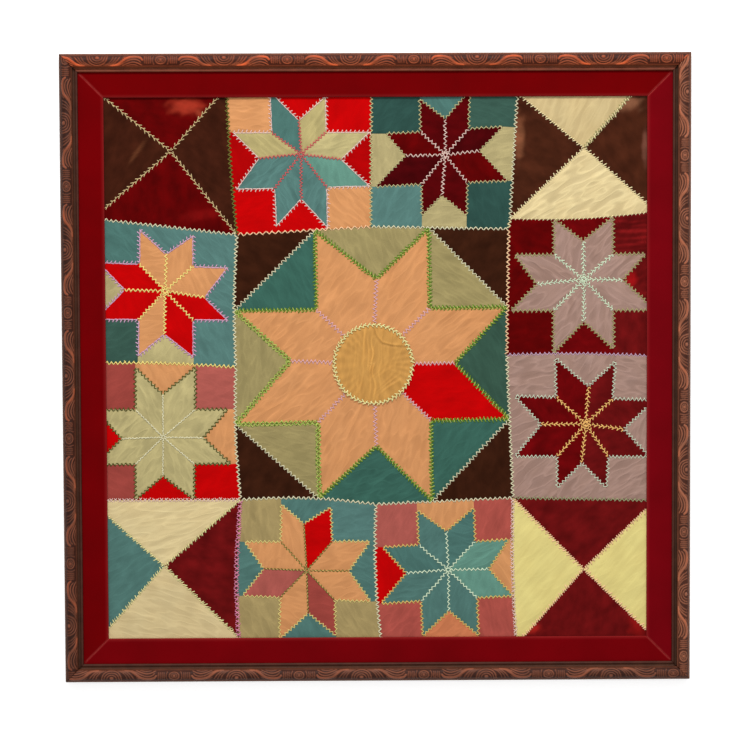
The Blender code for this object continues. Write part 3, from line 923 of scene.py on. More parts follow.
def weave(finish, threads):
    """Crossed threads: the product of two sine waves, with that many threads to a metre."""
    split = finish.place()
    part = [finish.add("ShaderNodeSeparateXYZ", None, {0: split}, output) for output in (0, 1)]
    return (part[0] * (threads * math.pi)).sine() * (part[1] * (threads * math.pi)).sine()


def wrinkles(finish, wave):
    """Wrinkles along the patch's own layout, about a wave apart in metres, from 0 to 1.

    Half is soft noise. The other half is thin crests, which lie where the noise is one half. Each
    patch has its own strength of wrinkles, and a weaker one stays nearer to the middle value.
    """
    soft = finish.noise(1 / wave, 0.8, finish.stretched((3.0, 1.0, 1.0)))
    crest = 1 - (soft - 0.5).size().clamp(0.0, 0.09)
    relief = soft.clamp(0.25, 0.75) * 0.5 + crest * 0.5
    return (relief - 0.5) * finish.attribute("wrinkles", "Fac") + 0.5


def velvet_cloth():
    """Velvet: the pile lies this way and that in patches, painted into the dye as darker and lighter
    patches: partly uneven tone, partly painted sheen.
    """
    cloth = Finish("patch velvet", "grain", Sheen_Weight=0.10, Sheen_Roughness=0.45,
                   Specular_IOR_Level=0.03, Sheen_Tint=(0.50, 0.14, 0.08, 1.0))
    brushed = cloth.noise(62.0, 5.0, cloth.stretched((1.6, 1.0, 1.0), 0.8)).clamp(0.32, 0.68)
    dye = cloth.attribute("dye")
    # Patches of lighter and darker pile, multiplied into the dye: partly the velvet's uneven tone, partly
    # painted sheen.
    tone = cloth.mix(brushed, (0.75, 0.75, 0.75, 1.0), (1.23, 1.23, 1.23, 1.0))
    colour = cloth.mix(1.0, dye, tone, "MULTIPLY")
    rough = 0.82 + 0.12 * cloth.noise(160.0)
    return cloth.finish(colour, rough, pile(cloth, 1500.0), 0.0004, 0.5)


def satin_cloth():
    """Satin: smooth, with a faint slub along its threads, a soft gloss, and painted highlight on its
    wrinkle crests with painted shade in their troughs.
    """
    cloth = Finish("patch satin", "grain", Specular_IOR_Level=0.14)
    slub = cloth.noise(120.0, 4.0, cloth.stretched((9.0, 1.0, 1.0), 0.2)).clamp(0.25, 0.78)
    stain = cloth.noise(24.0, 3.0).clamp(0.3, 0.75)
    creased = wrinkles(cloth, 0.0120)
    tone = cloth.mix(slub, (0.90, 0.88, 0.84, 1.0), (1.06, 1.06, 1.05, 1.0))
    aged = cloth.mix(stain * 0.35, tone, (0.98, 0.90, 0.80, 1.0), "MULTIPLY")
    # Painted highlight on the wrinkle crests and painted shade in their troughs, multiplied into the dye.
    crest_highlight_and_trough_shade = cloth.mix(creased, (0.80, 0.78, 0.77, 1.0), (1.18, 1.20, 1.22, 1.0))
    colour = cloth.mix(1.0, cloth.attribute("dye"), aged, "MULTIPLY")
    colour = cloth.mix(1.0, colour, crest_highlight_and_trough_shade, "MULTIPLY")
    rough = 0.42 + 0.2 * slub
    relief = creased + slub * 0.04 + weave(cloth, 1500.0) * 0.02
    return cloth.finish(colour, rough, relief, 0.0018, 0.6)


def crepe_cloth():
    """Crepe: dull, with a pebbled weave, a slightly uneven dye, and painted highlight on its wrinkle crests
    with painted shade in their troughs.
    """
    cloth = Finish("patch crepe", "grain", Specular_IOR_Level=0.03)
    uneven = cloth.noise(60.0, 5.0, cloth.stretched((2.2, 1.0, 1.0), 0.4)).clamp(0.28, 0.75)
    grain = cloth.noise(650.0, 2.0, cloth.stretched((1.6, 1.0, 1.0), 0.9))
    creased = wrinkles(cloth, 0.0115)
    tone = cloth.mix(uneven, (0.86, 0.86, 0.86, 1.0), (1.12, 1.12, 1.12, 1.0))
    fine = cloth.mix(grain, (0.90, 0.90, 0.90, 1.0), (1.08, 1.08, 1.08, 1.0))
    # Painted highlight on the wrinkle crests and painted shade in their troughs, multiplied into the dye.
    crests = cloth.mix(creased, (0.82, 0.82, 0.82, 1.0), (1.18, 1.18, 1.18, 1.0))
    colour = cloth.mix(1.0, cloth.attribute("dye"), tone, "MULTIPLY")
    colour = cloth.mix(1.0, colour, fine, "MULTIPLY")
    colour = cloth.mix(1.0, colour, crests, "MULTIPLY")
    rough = 0.72 + 0.12 * grain
    relief = creased + grain * 0.05 + weave(cloth, 1200.0) * 0.03
    return cloth.finish(colour, rough, relief, 0.0017, 0.6)


CLOTH_FINISHES = {"velvet": velvet_cloth(), "satin": satin_cloth(), "crepe": crepe_cloth()}
print("cloths:", list(CLOTH_FINISHES))

# %% [markdown]
# ## The blocks
#
# Each block is one thin closed piece of cloth: all its patches on top, joined along the seams, a plain
# flat back and a narrow wall round the edge. The size of the flat sheet that it was sewn to is worked
# out from its outline.


# %% Sew the blocks together
UNDERSIDE_STRIP = 0.03


def merged(points, faces):
    """Join points that lie in the same place, so that neighbouring patches share their seam."""
    keys = np.round(points / 1e-6).astype(np.int64)
    _, keep, where = np.unique(keys, axis=0, return_index=True, return_inverse=True)
    where = where.ravel()
    return points[keep], [where[part] for part in faces], keep


def block_mesh(name):
    """The closed cloth of one block, with its dyes and their painted fold highlight and shade, its
    materials and its flat layout.
    """
    loops, edge, _ = BLOCKS[name]
    points, quads, fans, lights, quad_patch, fan_patch = [], [], [], [], [], []
    count = 0
    for number, loop in enumerate(loops):
        place, quad, fan, light = patch_surface(name, number, loop)
        points.append(place)
        lights.append(light)
        quads.append(quad + count)
        fans.append(fan + count)
        quad_patch.append(np.full(len(quad), number))
        fan_patch.append(np.full(len(fan), number))
        count += len(place)
    rim = walk_sides([stop[2] for stop in edge.stops])
    steps = np.arange(len(rim))
    after = (steps + 1) % len(rim)
    upper = np.column_stack([rim, np.full(len(rim), SEAM_TOP)])
    lower = np.column_stack([rim, np.full(len(rim), QUILT_BOTTOM)])
    hub = np.array([[*rim.mean(axis=0), QUILT_BOTTOM]])
    low = count + len(rim)
    wall = np.column_stack([low + steps, low + after, count + after, count + steps])
    under = np.column_stack([low + after, low + steps, np.full(len(rim), low + len(rim))])
    points += [upper, lower, hub]
    lights.append(np.ones(2 * len(rim) + 1))
    quads.append(wall)
    fans.append(under)
    patch = np.concatenate(quad_patch + [np.full(len(rim), -1)] + fan_patch + [np.full(len(rim), -1)])
    faces = [np.concatenate(quads), np.concatenate(fans)]
    places, (quad, fan), keep = merged(np.concatenate(points), faces)
    mesh = make_mesh(f"quilt_{name}", places, quad, fan)
    dress_block(mesh, name, patch, np.concatenate(lights)[keep])
    return mesh


# How far along and across each further scrap starts in the weave, in metres
SCRAP_ALONG = 0.37
SCRAP_ACROSS = 0.61


def put_grain(mesh, flat, turns, scraps, strengths):
    """The cloth's own layout in metres, which starts elsewhere for each scrap, and its wrinkles."""
    along = flat[:, 0] * np.cos(turns) + flat[:, 1] * np.sin(turns) + SCRAP_ALONG * scraps
    across = flat[:, 1] * np.cos(turns) - flat[:, 0] * np.sin(turns) + SCRAP_ACROSS * scraps
    put_uv(mesh, "grain", np.column_stack([along, across]))
    put_colour(mesh, "wrinkles", np.tile(strengths, (3, 1)).T)


def dress_block(mesh, name, patch, light):
    """Dye every patch, with painted highlight and shade on its folds, rub its worn places, choose its
    cloth, and lay the block out flat.
    """
    corners = corner_verts(mesh)
    sides = np.empty(len(mesh.polygons), np.int32)
    mesh.polygons.foreach_get("loop_total", sides)
    owner = np.repeat(patch, sides)
    dyes = np.array([linear(DYES[cloth][0]) for cloth in CLOTHS[name]] + [linear((150, 135, 105))])
    # The dye times how light it is, which holds its random drift and the painted highlight and shade of the
    # folds.
    colour = dyes[owner] * light[corners, None]
    places = np.empty(3 * len(mesh.vertices), np.float32)
    mesh.vertices.foreach_get("co", places)
    flat = places.reshape(-1, 3)[corners, :2].astype(float)
    for where, which, middle, half, turn, tint, strength in RUBBED:
        if where == name:
            angle = math.radians(turn)
            along = np.array((math.cos(angle), math.sin(angle)))
            across = np.array((-along[1], along[0]))
            off = flat / MM - np.array(middle)
            away = (off @ along / half[0]) ** 2 + (off @ across / half[1]) ** 2
            ragged = 1 + 0.35 * clouds(*(flat / MM).T, 16, 77)
            share = strength * np.exp(-((away * ragged) ** 2)) * (owner == which)
            colour = colour + share[:, None] * (linear(tint) - colour)
    put_colour(mesh, "dye", colour)
    low = flat.min(axis=0)
    spread = (flat - low) / (flat.max(axis=0) - low)
    height = np.where(owner < 0, UNDERSIDE_STRIP * spread[:, 1],
                      UNDERSIDE_STRIP * 1.3 + (1 - UNDERSIDE_STRIP * 1.3) * spread[:, 1])
    put_uv(mesh, "OFBake", np.column_stack([spread[:, 0], height]))
    first_folds = [folds_of(name, number)[0] for number in range(len(CLOTHS[name]))] + [(0, 0, 0, 0)]
    turns = np.radians([row[0] for row in first_folds])[owner]
    put_grain(mesh, flat, turns, owner, np.array([row[2] for row in first_folds])[owner])
    kinds = np.array([CLOTH_ORDER.index(DYES[cloth][1]) for cloth in CLOTHS[name]] + [2])
    mesh.polygons.foreach_set("material_index", kinds[patch].astype(np.int32))
    mesh.polygons.foreach_set("use_smooth", patch >= 0)
    mesh.update()


def add_block(name):
    """One block of the quilt, with the size of the flat sheet that it was sewn as."""
    outline = np.array(block_outline(name))
    wide, high = np.ptp(outline, axis=0)
    piece = add_piece(f"quilt_{name}", block_mesh(name), "patchwork", f"block_{name}",
                      materials=[CLOTH_FINISHES[kind] for kind in CLOTH_ORDER])
    print(piece.name, len(piece.data.polygons), "faces,", round(wide, 4), "x", round(high, 4), "m")
    return piece, (float(wide), float(high)), loop_area(outline)


QUILT = {name: add_block(name) for name in BLOCK_LOOPS}

# %% [markdown]
# ## The sewing
#
# Every seam is sewn over by hand with thick thread. From close by, a line of feather stitch is a row of
# short bars of thread, each diving into the cloth at both ends. So a stitch is described as a few bars
# in a small unit cell, one pitch long and one half-width to either side of the seam, and the cell is
# repeated along the seam. The bars are bent into place with arrays, all stitches of a seam at once,
# and each one is shifted a little, because no hand is even.

# %% Stitches
# Each stitch: bars from (along, across) to (along, across), in pitches and half widths
STITCHES = {
    "zigzag": (((0.00, -1.0), (0.53, 1.0)), ((0.47, 1.0), (1.00, -1.0))),
    "catch": (((0.00, -1.0), (0.66, 1.0)), ((0.44, 1.0), (1.10, -1.0))),
    "feather": (((0.00, -0.30), (0.52, 0.30)), ((0.10, 1.0), (0.50, 0.28)),
                ((0.50, 0.30), (1.02, -0.30)), ((0.60, -1.0), (1.00, -0.28))),
    "teeth": (((0.00, -0.35), (1.06, -0.35)), ((0.10, -0.40), (0.52, 1.0))),
    "whip": (((0.00, -0.8), (0.50, 1.0)),),
    "spikes": (((0.00, -0.45), (0.36, 1.0)), ((0.50, -0.45), (0.70, 0.35))),
    "cross": (((0.05, -1.0), (0.85, 1.0)), ((0.85, -1.0), (0.05, 1.0))),
    "chain": (((0.00, 0.0), (0.48, 0.7)), ((0.40, 0.7), (1.06, 0.0)),
              ((0.00, 0.0), (0.48, -0.7)), ((0.40, -0.7), (1.06, 0.0))),
    "dots": (((0.10, 0.0), (0.60, 0.0)),),
}

# Threads, as they look on the screen. They were tuned by strips along the seams, until the brightest
# tenth of most strips came near the picture's. The mean colour of a strip is further off.
THREADS = {
    "cream": (240, 226, 176), "blush": (230, 198, 190), "rosewood": (204, 98, 98),
    "shell": (230, 200, 188), "leaf": (200, 192, 140), "olive": (112, 110, 44),
    "lilac": (206, 168, 196), "gold": (248, 200, 120), "butter": (244, 224, 134),
    "ochre": (222, 190, 108), "primrose": (224, 210, 132), "mint": (216, 234, 204),
    "grass": (96, 134, 34), "lime": (182, 196, 100), "apricot": (246, 204, 160),
    "orchid": (218, 134, 164), "moss": (84, 84, 28), "straw": (236, 230, 164),
    "reed": (172, 164, 112), "fern": (158, 158, 118), "petal": (224, 178, 182),
    "ivory": (222, 217, 182), "parchment": (214, 192, 140), "celadon": (206, 214, 190),
}

# How each block is sewn: (thread, stitch, pitch, half width, thread's width) in millimetres
SEWING = {
    "n1": dict(inner=("rosewood", "catch", 5.6, 2.4, 1.4), outer=("blush", "teeth", 6.3, 3.0, 1.5)),
    "n2": dict(inner=("shell", "zigzag", 6.8, 2.5, 1.4), outer=("leaf", "catch", 6.8, 2.3, 1.1)),
    "w1": dict(inner=("butter", "catch", 6.6, 2.6, 1.6), outer=("lilac", "teeth", 6.0, 3.2, 1.7)),
    "w2": dict(inner=("ivory", "zigzag", 5.4, 1.0, 1.9), outer=("moss", "catch", 6.6, 2.6, 1.4)),
    "e1": dict(inner=("mint", "feather", 7.2, 3.4, 1.5), outer=("reed", "catch", 6.6, 3.0, 1.3)),
    "e2": dict(inner=("gold", "feather", 7.0, 3.2, 1.5), outer=("celadon", "catch", 6.2, 2.6, 1.3)),
    "s1": dict(inner=("olive", "catch", 5.4, 1.5, 1.2), outer=("primrose", "catch", 6.6, 2.3, 1.3)),
    "s2": dict(inner=("mint", "catch", 6.8, 2.1, 1.5), outer=("ochre", "catch", 6.6, 2.3, 1.5)),
    "centre": dict(inner=("petal", "catch", 6.0, 3.3, 1.4), outer=("grass", "feather", 5.6, 3.7, 1.7),
                   looped=("lime", "chain", 7.0, 5.8, 1.6), corner=("ivory", "zigzag", 7.4, 2.8, 1.4)),
    "nw": dict(inner=("parchment", "feather", 8.6, 2.9, 1.3)),
    "ne": dict(inner=("cream", "spikes", 7.4, 4.0, 1.6)),
    "sw": dict(inner=("straw", "spikes", 7.0, 3.6, 1.5)),
    "se": dict(inner=("apricot", "spikes", 7.4, 4.4, 1.9)),
}
OVERLAYS = {
    "centre": dict(outer=("lime", "whip", 5.8, -3.6, 1.5), looped=("grass", "catch", 6.6, 4.0, 1.2)),
    "ne": {"upper right": ("reed", "zigzag", 5.2, 3.4, 1.3)},
    "w2": dict(outer=("leaf", "dots", 6.6, 1.0, 1.4)),
    "s1": dict(inner=("primrose", "dots", 5.4, 1.0, 1.2)),
    "sw": dict(inner=("leaf", "whip", 9.6, 3.0, 1.4)),
}

# The seams between blocks, in the same columns, each along a run of corners
BORDERS = (
    (("a1", "b1"), ("olive", "catch", 6.6, 3.0, 1.6)),
    (("a2", "b2"), ("leaf", "catch", 6.6, 2.6, 1.4)),
    (("a3", "b3_right"), ("ivory", "zigzag", 6.9, 2.6, 1.4)),
    (("b0", "b1"), ("ivory", "zigzag", 7.4, 2.5, 1.5)),
    (("b1", "b2"), ("apricot", "zigzag", 9.6, 2.4, 1.6)),
    (("b2", "b3"), ("ivory", "zigzag", 7.4, 2.4, 1.6)),
    (("b1", "c1"), ("ivory", "zigzag", 6.9, 2.6, 1.7)),
    (("c1", "d1"), ("ivory", "zigzag", 6.9, 2.6, 1.7)),
    (("c0", "c1"), ("butter", "catch", 6.8, 2.6, 1.6)),
    (("d0", "d1"), ("shell", "cross", 6.4, 2.8, 1.4)),
    (("b3_right", "b3"), ("cream", "zigzag", 6.9, 2.6, 1.7)),
    (("b3", "c3"), ("apricot", "zigzag", 6.9, 2.6, 1.7)),
    (("c3", "d3"), ("ivory", "zigzag", 6.9, 2.6, 1.7)),
    (("b3_right", "b4"), ("cream", "whip", 6.0, 2.0, 1.3)),
    (("c3", "c4"), ("lilac", "catch", 6.6, 2.4, 1.2)),
    (("d3", "d4"), ("fern", "catch", 6.6, 2.6, 1.5)),
    (("d1", "e1"), ("orchid", "cross", 6.6, 3.6, 1.7)),
    (("d1", "d2"), ("ivory", "zigzag", 7.4, 2.4, 1.7)),
    (("d2", "d3"), ("ivory", "zigzag", 7.4, 2.4, 1.6)),
    (("d2", "e2"), ("ivory", "zigzag", 6.9, 2.8, 1.7)),
    (("d3", "e3"), ("shell", "cross", 6.0, 3.0, 1.4)),
)
BAR_SHARES = np.array((0.0, 0.14, 0.86, 1.0))
BAR_TAPER = np.array((0.6, 1.0, 1.0, 0.6))
BAR_LIFT = np.array((-0.45, 0.6, 0.6, -0.45))
BAR_SIDES = 4
SEAM_END = 0.0012
TWIST = 0.0013


def along_path(path, distances):
    """Places on a bent line at given distances along it, and the directions square to it."""
    steps = np.linalg.norm(np.diff(path, axis=0), axis=1)
    marks = np.concatenate([[0], np.cumsum(steps)])

    def at(s):
        return np.stack([np.interp(s, marks, path[:, i]) for i in (0, 1)], axis=-1)

    ahead = at(np.clip(distances + 0.001, 0, marks[-1])) - at(np.clip(distances - 0.001, 0, marks[-1]))
    ahead /= np.linalg.norm(ahead, axis=-1, keepdims=True)
    return at(distances), np.stack([-ahead[..., 1], ahead[..., 0]], axis=-1)


def sew(path, style, draw, level=None):
    """All the bars of thread along one seam: ring points, the thread's colour, each bar's length.

    A bar's middle line runs straight between its two ends on the seam's own strip, over the
    swelling cloth, and its ends dive in. Its rings are diamonds across it, smaller at the ends.
    """
    thread, stitch, pitch, half, wide = style
    path = np.asarray(path, float)
    total = float(np.linalg.norm(np.diff(path, axis=0), axis=1).sum())
    repeats = max(1, round((total - 2 * SEAM_END) / (pitch * MM)))
    step = (total - 2 * SEAM_END) / repeats
    bars = np.array(STITCHES[stitch])
    cell = np.arange(repeats)[:, None, None] + bars[None, :, :, 0]
    cell = cell + draw.normal(0, 0.06, cell.shape)
    across = np.broadcast_to(bars[None, :, :, 1], cell.shape) * half * MM
    across = across * (1 + draw.normal(0, 0.15, across.shape)) + draw.normal(0, 0.0002, across.shape)
    along = np.clip(SEAM_END + cell * step, 0.0004, total - 0.0004).reshape(-1, 2)
    across = across.reshape(-1, 2)
    shares = BAR_SHARES[None]
    s = along[:, :1] + (along[:, 1:] - along[:, :1]) * shares
    off = across[:, :1] + (across[:, 1:] - across[:, :1]) * shares
    place, normal = along_path(path, s)
    flat = place + normal * off[..., None]
    radius = wide * MM / 2
    ground = SEAM_TOP + swell(np.maximum(np.abs(off), 0.0012)) if level is None else level + 0 * off
    z = ground + radius * BAR_LIFT
    direction = flat[:, -1] - flat[:, 0]
    direction /= np.linalg.norm(direction, axis=1, keepdims=True)
    side = np.column_stack([-direction[:, 1], direction[:, 0]])
    angle = 2 * math.pi * np.arange(BAR_SIDES) / BAR_SIDES
    thick = radius * BAR_TAPER[None, :, None]
    sideways = side[:, None, None] * (thick * np.cos(angle))[..., None]
    upward = thick * np.sin(angle) * 0.85 + z[..., None]
    rings = np.concatenate([flat[:, :, None] + sideways, upward[..., None]], axis=3)
    shade = 1 + draw.normal(0, 0.06, len(rings))
    colour = linear(THREADS[thread])[None] * shade[:, None]
    return rings, colour, np.linalg.norm(flat[:, -1] - flat[:, 0], axis=1)


def thread_mesh(name, runs):
    """Bars of thread as one mesh: four-sided tubes with closed ends, each in its own cell of the UVs."""
    rings = np.concatenate([run[0] for run in runs])
    colours = np.concatenate([run[1] for run in runs])
    lengths = np.concatenate([run[2] for run in runs])
    bars, stations, sides = rings.shape[:3]
    tube = grid_faces(stations, sides, closed=True)
    ends = np.array([np.arange(sides)[::-1], (stations - 1) * sides + np.arange(sides)])
    faces = np.concatenate([tube, ends])
    offset = np.arange(bars)[:, None, None] * stations * sides
    mesh = make_mesh(name, rings.reshape(-1, 3), (faces[None] + offset).reshape(-1, 4))
    row, column = np.divmod(np.arange(len(tube)), sides)
    u = np.stack([row, row, row + 1, row + 1], axis=1) / (stations - 1)
    v = np.stack([column, column + 1, column + 1, column], axis=1) / sides
    u = np.vstack([u, np.zeros((1, 4)), np.ones((1, 4))]).ravel()
    v = np.vstack([v, np.full((2, 4), 0.5)]).ravel()
    cells = math.ceil(math.sqrt(bars))
    down, over = np.divmod(np.arange(bars), cells)
    layout = np.stack([over[:, None] + 0.06 + 0.88 * u, down[:, None] + 0.06 + 0.88 * v], axis=2)
    put_uv(mesh, "OFBake", (layout / cells).reshape(-1, 2))
    turns = (lengths / TWIST)[:, None] * u[None]
    put_uv(mesh, "twist", np.stack([turns, np.broadcast_to(v, turns.shape)], axis=2).reshape(-1, 2))
    put_colour(mesh, "dye", np.repeat(colours, len(faces) * 4, axis=0))
    return mesh


# %% Thread material
def thread_finish():
    """Thick cotton thread: plies wind round it, which the twist map follows."""
    cotton = Finish("thread", Sheen_Weight=0.05, Sheen_Roughness=0.4, Specular_IOR_Level=0.12)
    twist = cotton.add("ShaderNodeUVMap", {"uv_map": "twist"})
    along = cotton.add("ShaderNodeSeparateXYZ", None, {0: twist}, 0)
    round_it = cotton.add("ShaderNodeSeparateXYZ", None, {0: twist}, 1)
    plies = ((along + round_it * 2.0) * (2 * math.pi)).sine() * 0.5 + 0.5
    # The plies are painted into the colour too, lighter on their ridges and darker between them: painted
    # highlight and painted shade.
    tone = cotton.mix(plies, (0.90, 0.88, 0.86, 1.0), (1.16, 1.16, 1.16, 1.0))
    colour = cotton.mix(1.0, cotton.attribute("dye"), tone, "MULTIPLY")
    return cotton.finish(colour, 0.55 + 0.2 * cotton.noise(900.0), plies, 0.0003, 0.6)


THREAD = thread_finish()


# %% Sew every seam
def block_thread(name):
    """All the sewing inside one block."""
    draw = np.random.default_rng(500 + list(BLOCK_LOOPS).index(name))
    lines = BLOCKS[name][2]
    runs = []
    for table in (SEWING, OVERLAYS):
        for group, style in table.get(name, {}).items():
            for line in lines[group]:
                if name == "centre" and group == "inner":
                    line = [past_disc(line), line[1]]
                runs.append(sew(line, style, draw))
    mesh = thread_mesh(f"sewing_{name}", runs)
    piece = add_piece(f"sewing_{name}", mesh, "patchwork", materials=[THREAD])
    print(piece.name, len(mesh.polygons), "faces")
    return piece


DISC_CENTRE = np.array((-0.005, 0.007))
DISC_RADIUS = 0.0600
DISC_BOTTOM = 0.0065
DISC_RISE = 0.0022


def past_disc(line):
    """The place where a line from the middle of the quilt comes out from under the round patch."""
    ahead = line[1] - DISC_CENTRE
    return DISC_CENTRE + ahead * (DISC_RADIUS + 0.001) / np.linalg.norm(ahead)


def border_thread():
    """The sewing over the seams between the blocks."""
    draw = np.random.default_rng(900)
    runs = []
    for (start, end), style in BORDERS:
        path = seam_points(start, end) + [metres(CORNERS[end])]
        runs.append(sew(path, style, draw))
    mesh = thread_mesh("sewing_between_blocks", runs)
    print("between blocks:", len(mesh.polygons), "faces")
    return add_piece("sewing_between_blocks", mesh, "patchwork", materials=[THREAD])


SEWN = {name: block_thread(name) for name in BLOCK_LOOPS}
border_thread()

# %% [markdown]
# ## The round patch
#
# A circle of mustard satin covers the place where the big star's points meet, because so many seams in
# one spot are hard to sew flat. It was cut a little too big and eased in, so it puckers: long soft
# folds down the middle and short gathers round the rim.

# %% Make the round patch
DISC_RINGS = 44
DISC_STEPS = 168
# A raised seam across the patch, in millimetres
DISC_SEAM = ((-2, 64), (-1, 57), (2, 49), (9, 40), (24, 36), (43, 35))


def line_ridge(x, y, line, wide):
    """A ridge along a bent line, in millimetres: one at the line, falling off as a bell."""
    points = np.array(line, float)
    best = np.full(x.shape, np.inf)
    for start, end in zip(points, points[1:]):
        side = end - start
        share = np.clip(((x - start[0]) * side[0] + (y - start[1]) * side[1]) / (side @ side), 0, 1)
        away = np.hypot(x - start[0] - share * side[0], y - start[1] - share * side[1])
        best = np.minimum(best, away)
    return np.exp(-((best / wide) ** 2))


def disc_mesh():
    """A low dome in rings: height = rise * (1 - share^9) plus folds, over a flat underside. The folds are
    painted into the dye as highlight and shade.
    """
    share = 1 - np.linspace(0, 1, DISC_RINGS) ** 1.25
    share = np.concatenate([[1.0, 1.0], share[:-1]])[:, None]
    angle = (2 * math.pi * np.arange(DISC_STEPS) / DISC_STEPS)[None]
    wobble = 1 + 0.006 * np.sin(5 * angle + 0.7) + 0.004 * np.sin(11 * angle)
    x = DISC_CENTRE[0] + DISC_RADIUS * share * np.cos(angle) * wobble
    y = DISC_CENTRE[1] + DISC_RADIUS * share * np.sin(angle) * wobble
    xm, ym = x / MM, y / MM
    dome = DISC_RISE * (1 - share**9) + 0 * angle
    gathers = np.sin(26 * angle + 3 * np.sin(3 * angle)) * share**4 * (1 - share**10)
    upright = creases(xm, ym, 86, 6.5, 41) * np.exp(-(((xm + 12) / 24) ** 2)) * (1 - share**6)
    slanted = creases(xm, ym, 40, 7.5, 43) * np.exp(-(((xm - 30) / 24) ** 2 + ((ym + 20) / 26) ** 2))
    folds = 0.9 * gathers + 1.7 * (upright - 0.2) + 1.6 * (slanted - 0.2) * (1 - share**6)
    folds += 1.0 * line_ridge(xm, ym, DISC_SEAM, 1.5) - 1.0 * line_ridge(xm + 1.5, ym + 1.8, DISC_SEAM, 1.8)
    z = DISC_BOTTOM + 0.0004 + np.maximum(dome - 0.0006 + folds * MM * (1 - share**12), 0)
    z[0] = DISC_BOTTOM
    z[1] = DISC_BOTTOM + 0.0003
    x[0] = DISC_CENTRE[0] + 0.985 * (x[0] - DISC_CENTRE[0])
    y[0] = DISC_CENTRE[1] + 0.985 * (y[0] - DISC_CENTRE[1])
    rows = len(share)
    points = np.stack([x, y, z], axis=2).reshape(-1, 3)
    top = [*DISC_CENTRE, z[-1].mean()]
    points = np.vstack([points, top, [*DISC_CENTRE, DISC_BOTTOM]])
    steps = np.arange(DISC_STEPS)
    after = (steps + 1) % DISC_STEPS
    last = (rows - 1) * DISC_STEPS
    cap = np.column_stack([last + steps, last + after, np.full(DISC_STEPS, len(points) - 2)])
    under = np.column_stack([after, steps, np.full(DISC_STEPS, len(points) - 1)])
    mesh = make_mesh("round_patch", points, grid_faces(rows, DISC_STEPS, True), np.vstack([cap, under]))
    corners = corner_verts(mesh)
    # The mustard is painted lighter where the folds and the seam's ridge stand up and darker in their
    # hollows and beside the seam: painted highlight and painted shade.
    light = 1 + 0.20 * (folds.ravel()[np.minimum(corners, folds.size - 1)])
    put_colour(mesh, "dye", linear(DYES["mustard"][0])[None] * np.clip(light, 0.74, 1.22)[:, None])
    flat = points[corners, :2]
    spread = (flat - flat.min(axis=0)) / np.ptp(flat, axis=0)
    below = np.arange(len(corners)) >= len(corners) - 3 * DISC_STEPS
    spread[:, 1] = np.where(below, UNDERSIDE_STRIP * spread[:, 1], 0.04 + 0.96 * spread[:, 1])
    put_uv(mesh, "OFBake", spread)
    put_grain(mesh, flat, math.radians(84), 0.0, np.full(len(corners), 0.5))
    return mesh


def disc_sewing():
    """Two rings of stitches, feather and whip, over the rim of the round patch."""
    draw = np.random.default_rng(77)
    angle = np.linspace(0, 2 * math.pi, 97)
    spot = DISC_CENTRE + (DISC_RADIUS - 0.001) * np.column_stack([np.cos(angle), np.sin(angle)])
    runs = [sew(spot, ("straw", style, 7.0, 3.4, 1.4), draw, level=DISC_BOTTOM + 0.0015)
            for style in ("feather", "whip")]
    return add_piece("sewing_round_patch", thread_mesh("sewing_round_patch", runs), "patchwork",
                     materials=[THREAD])


ROUND_PATCH = add_piece("round_patch", disc_mesh(), "gold_silk", "centre_disc",
                        materials=[CLOTH_FINISHES["satin"]])
ROUND_SEWING = disc_sewing()
print("round patch:", len(ROUND_PATCH.data.polygons), "faces")

# %% [markdown]
# ## Mitred bars
#
# The liner and the frame are both four bars with one section, cut at 45 degrees and joined into a
# square. A bar is its section carried along one side of the square. A point of the section that lies
# further out has further to go, so its run is as long as its distance from the middle, and both ends
# come out as mitres by themselves.

# %% A section carried along a side
JOINT = GAP / 2 * math.sqrt(2)
LIP_HALF = SIGHT_HALF + 0.0378
FRAME_HALF = LIP_HALF + 0.0270
RABBET_HALF = LIP_HALF + 0.0072
LIP_BOTTOM = 0.0113
UV_CELLS = 3


def arc_points(out, height, radius, start, stop, steps):
    """Points round part of a circle, both ends included, as distance out and height."""
    angles = np.radians(np.linspace(start, stop, steps + 1))
    return np.column_stack([out + radius * np.cos(angles), height + radius * np.sin(angles)])


def bar_grid(section, inner_half, shares):
    """The grid of a bar along the lower side: points are (share * reach, -reach, height)."""
    shares = shares[:, None]
    reach = inner_half + section[None, :, 0]
    x = shares * (reach - JOINT)
    y = -reach + 0 * x
    z = section[None, :, 1] + 0 * x
    return np.stack([x, y, z], axis=2)


def turned(points, quarter):
    """Points turned about the middle of the quilt by a number of quarter turns."""
    for _ in range(quarter):
        points = np.stack([-points[..., 1], points[..., 0], points[..., 2]], axis=-1)
    return points


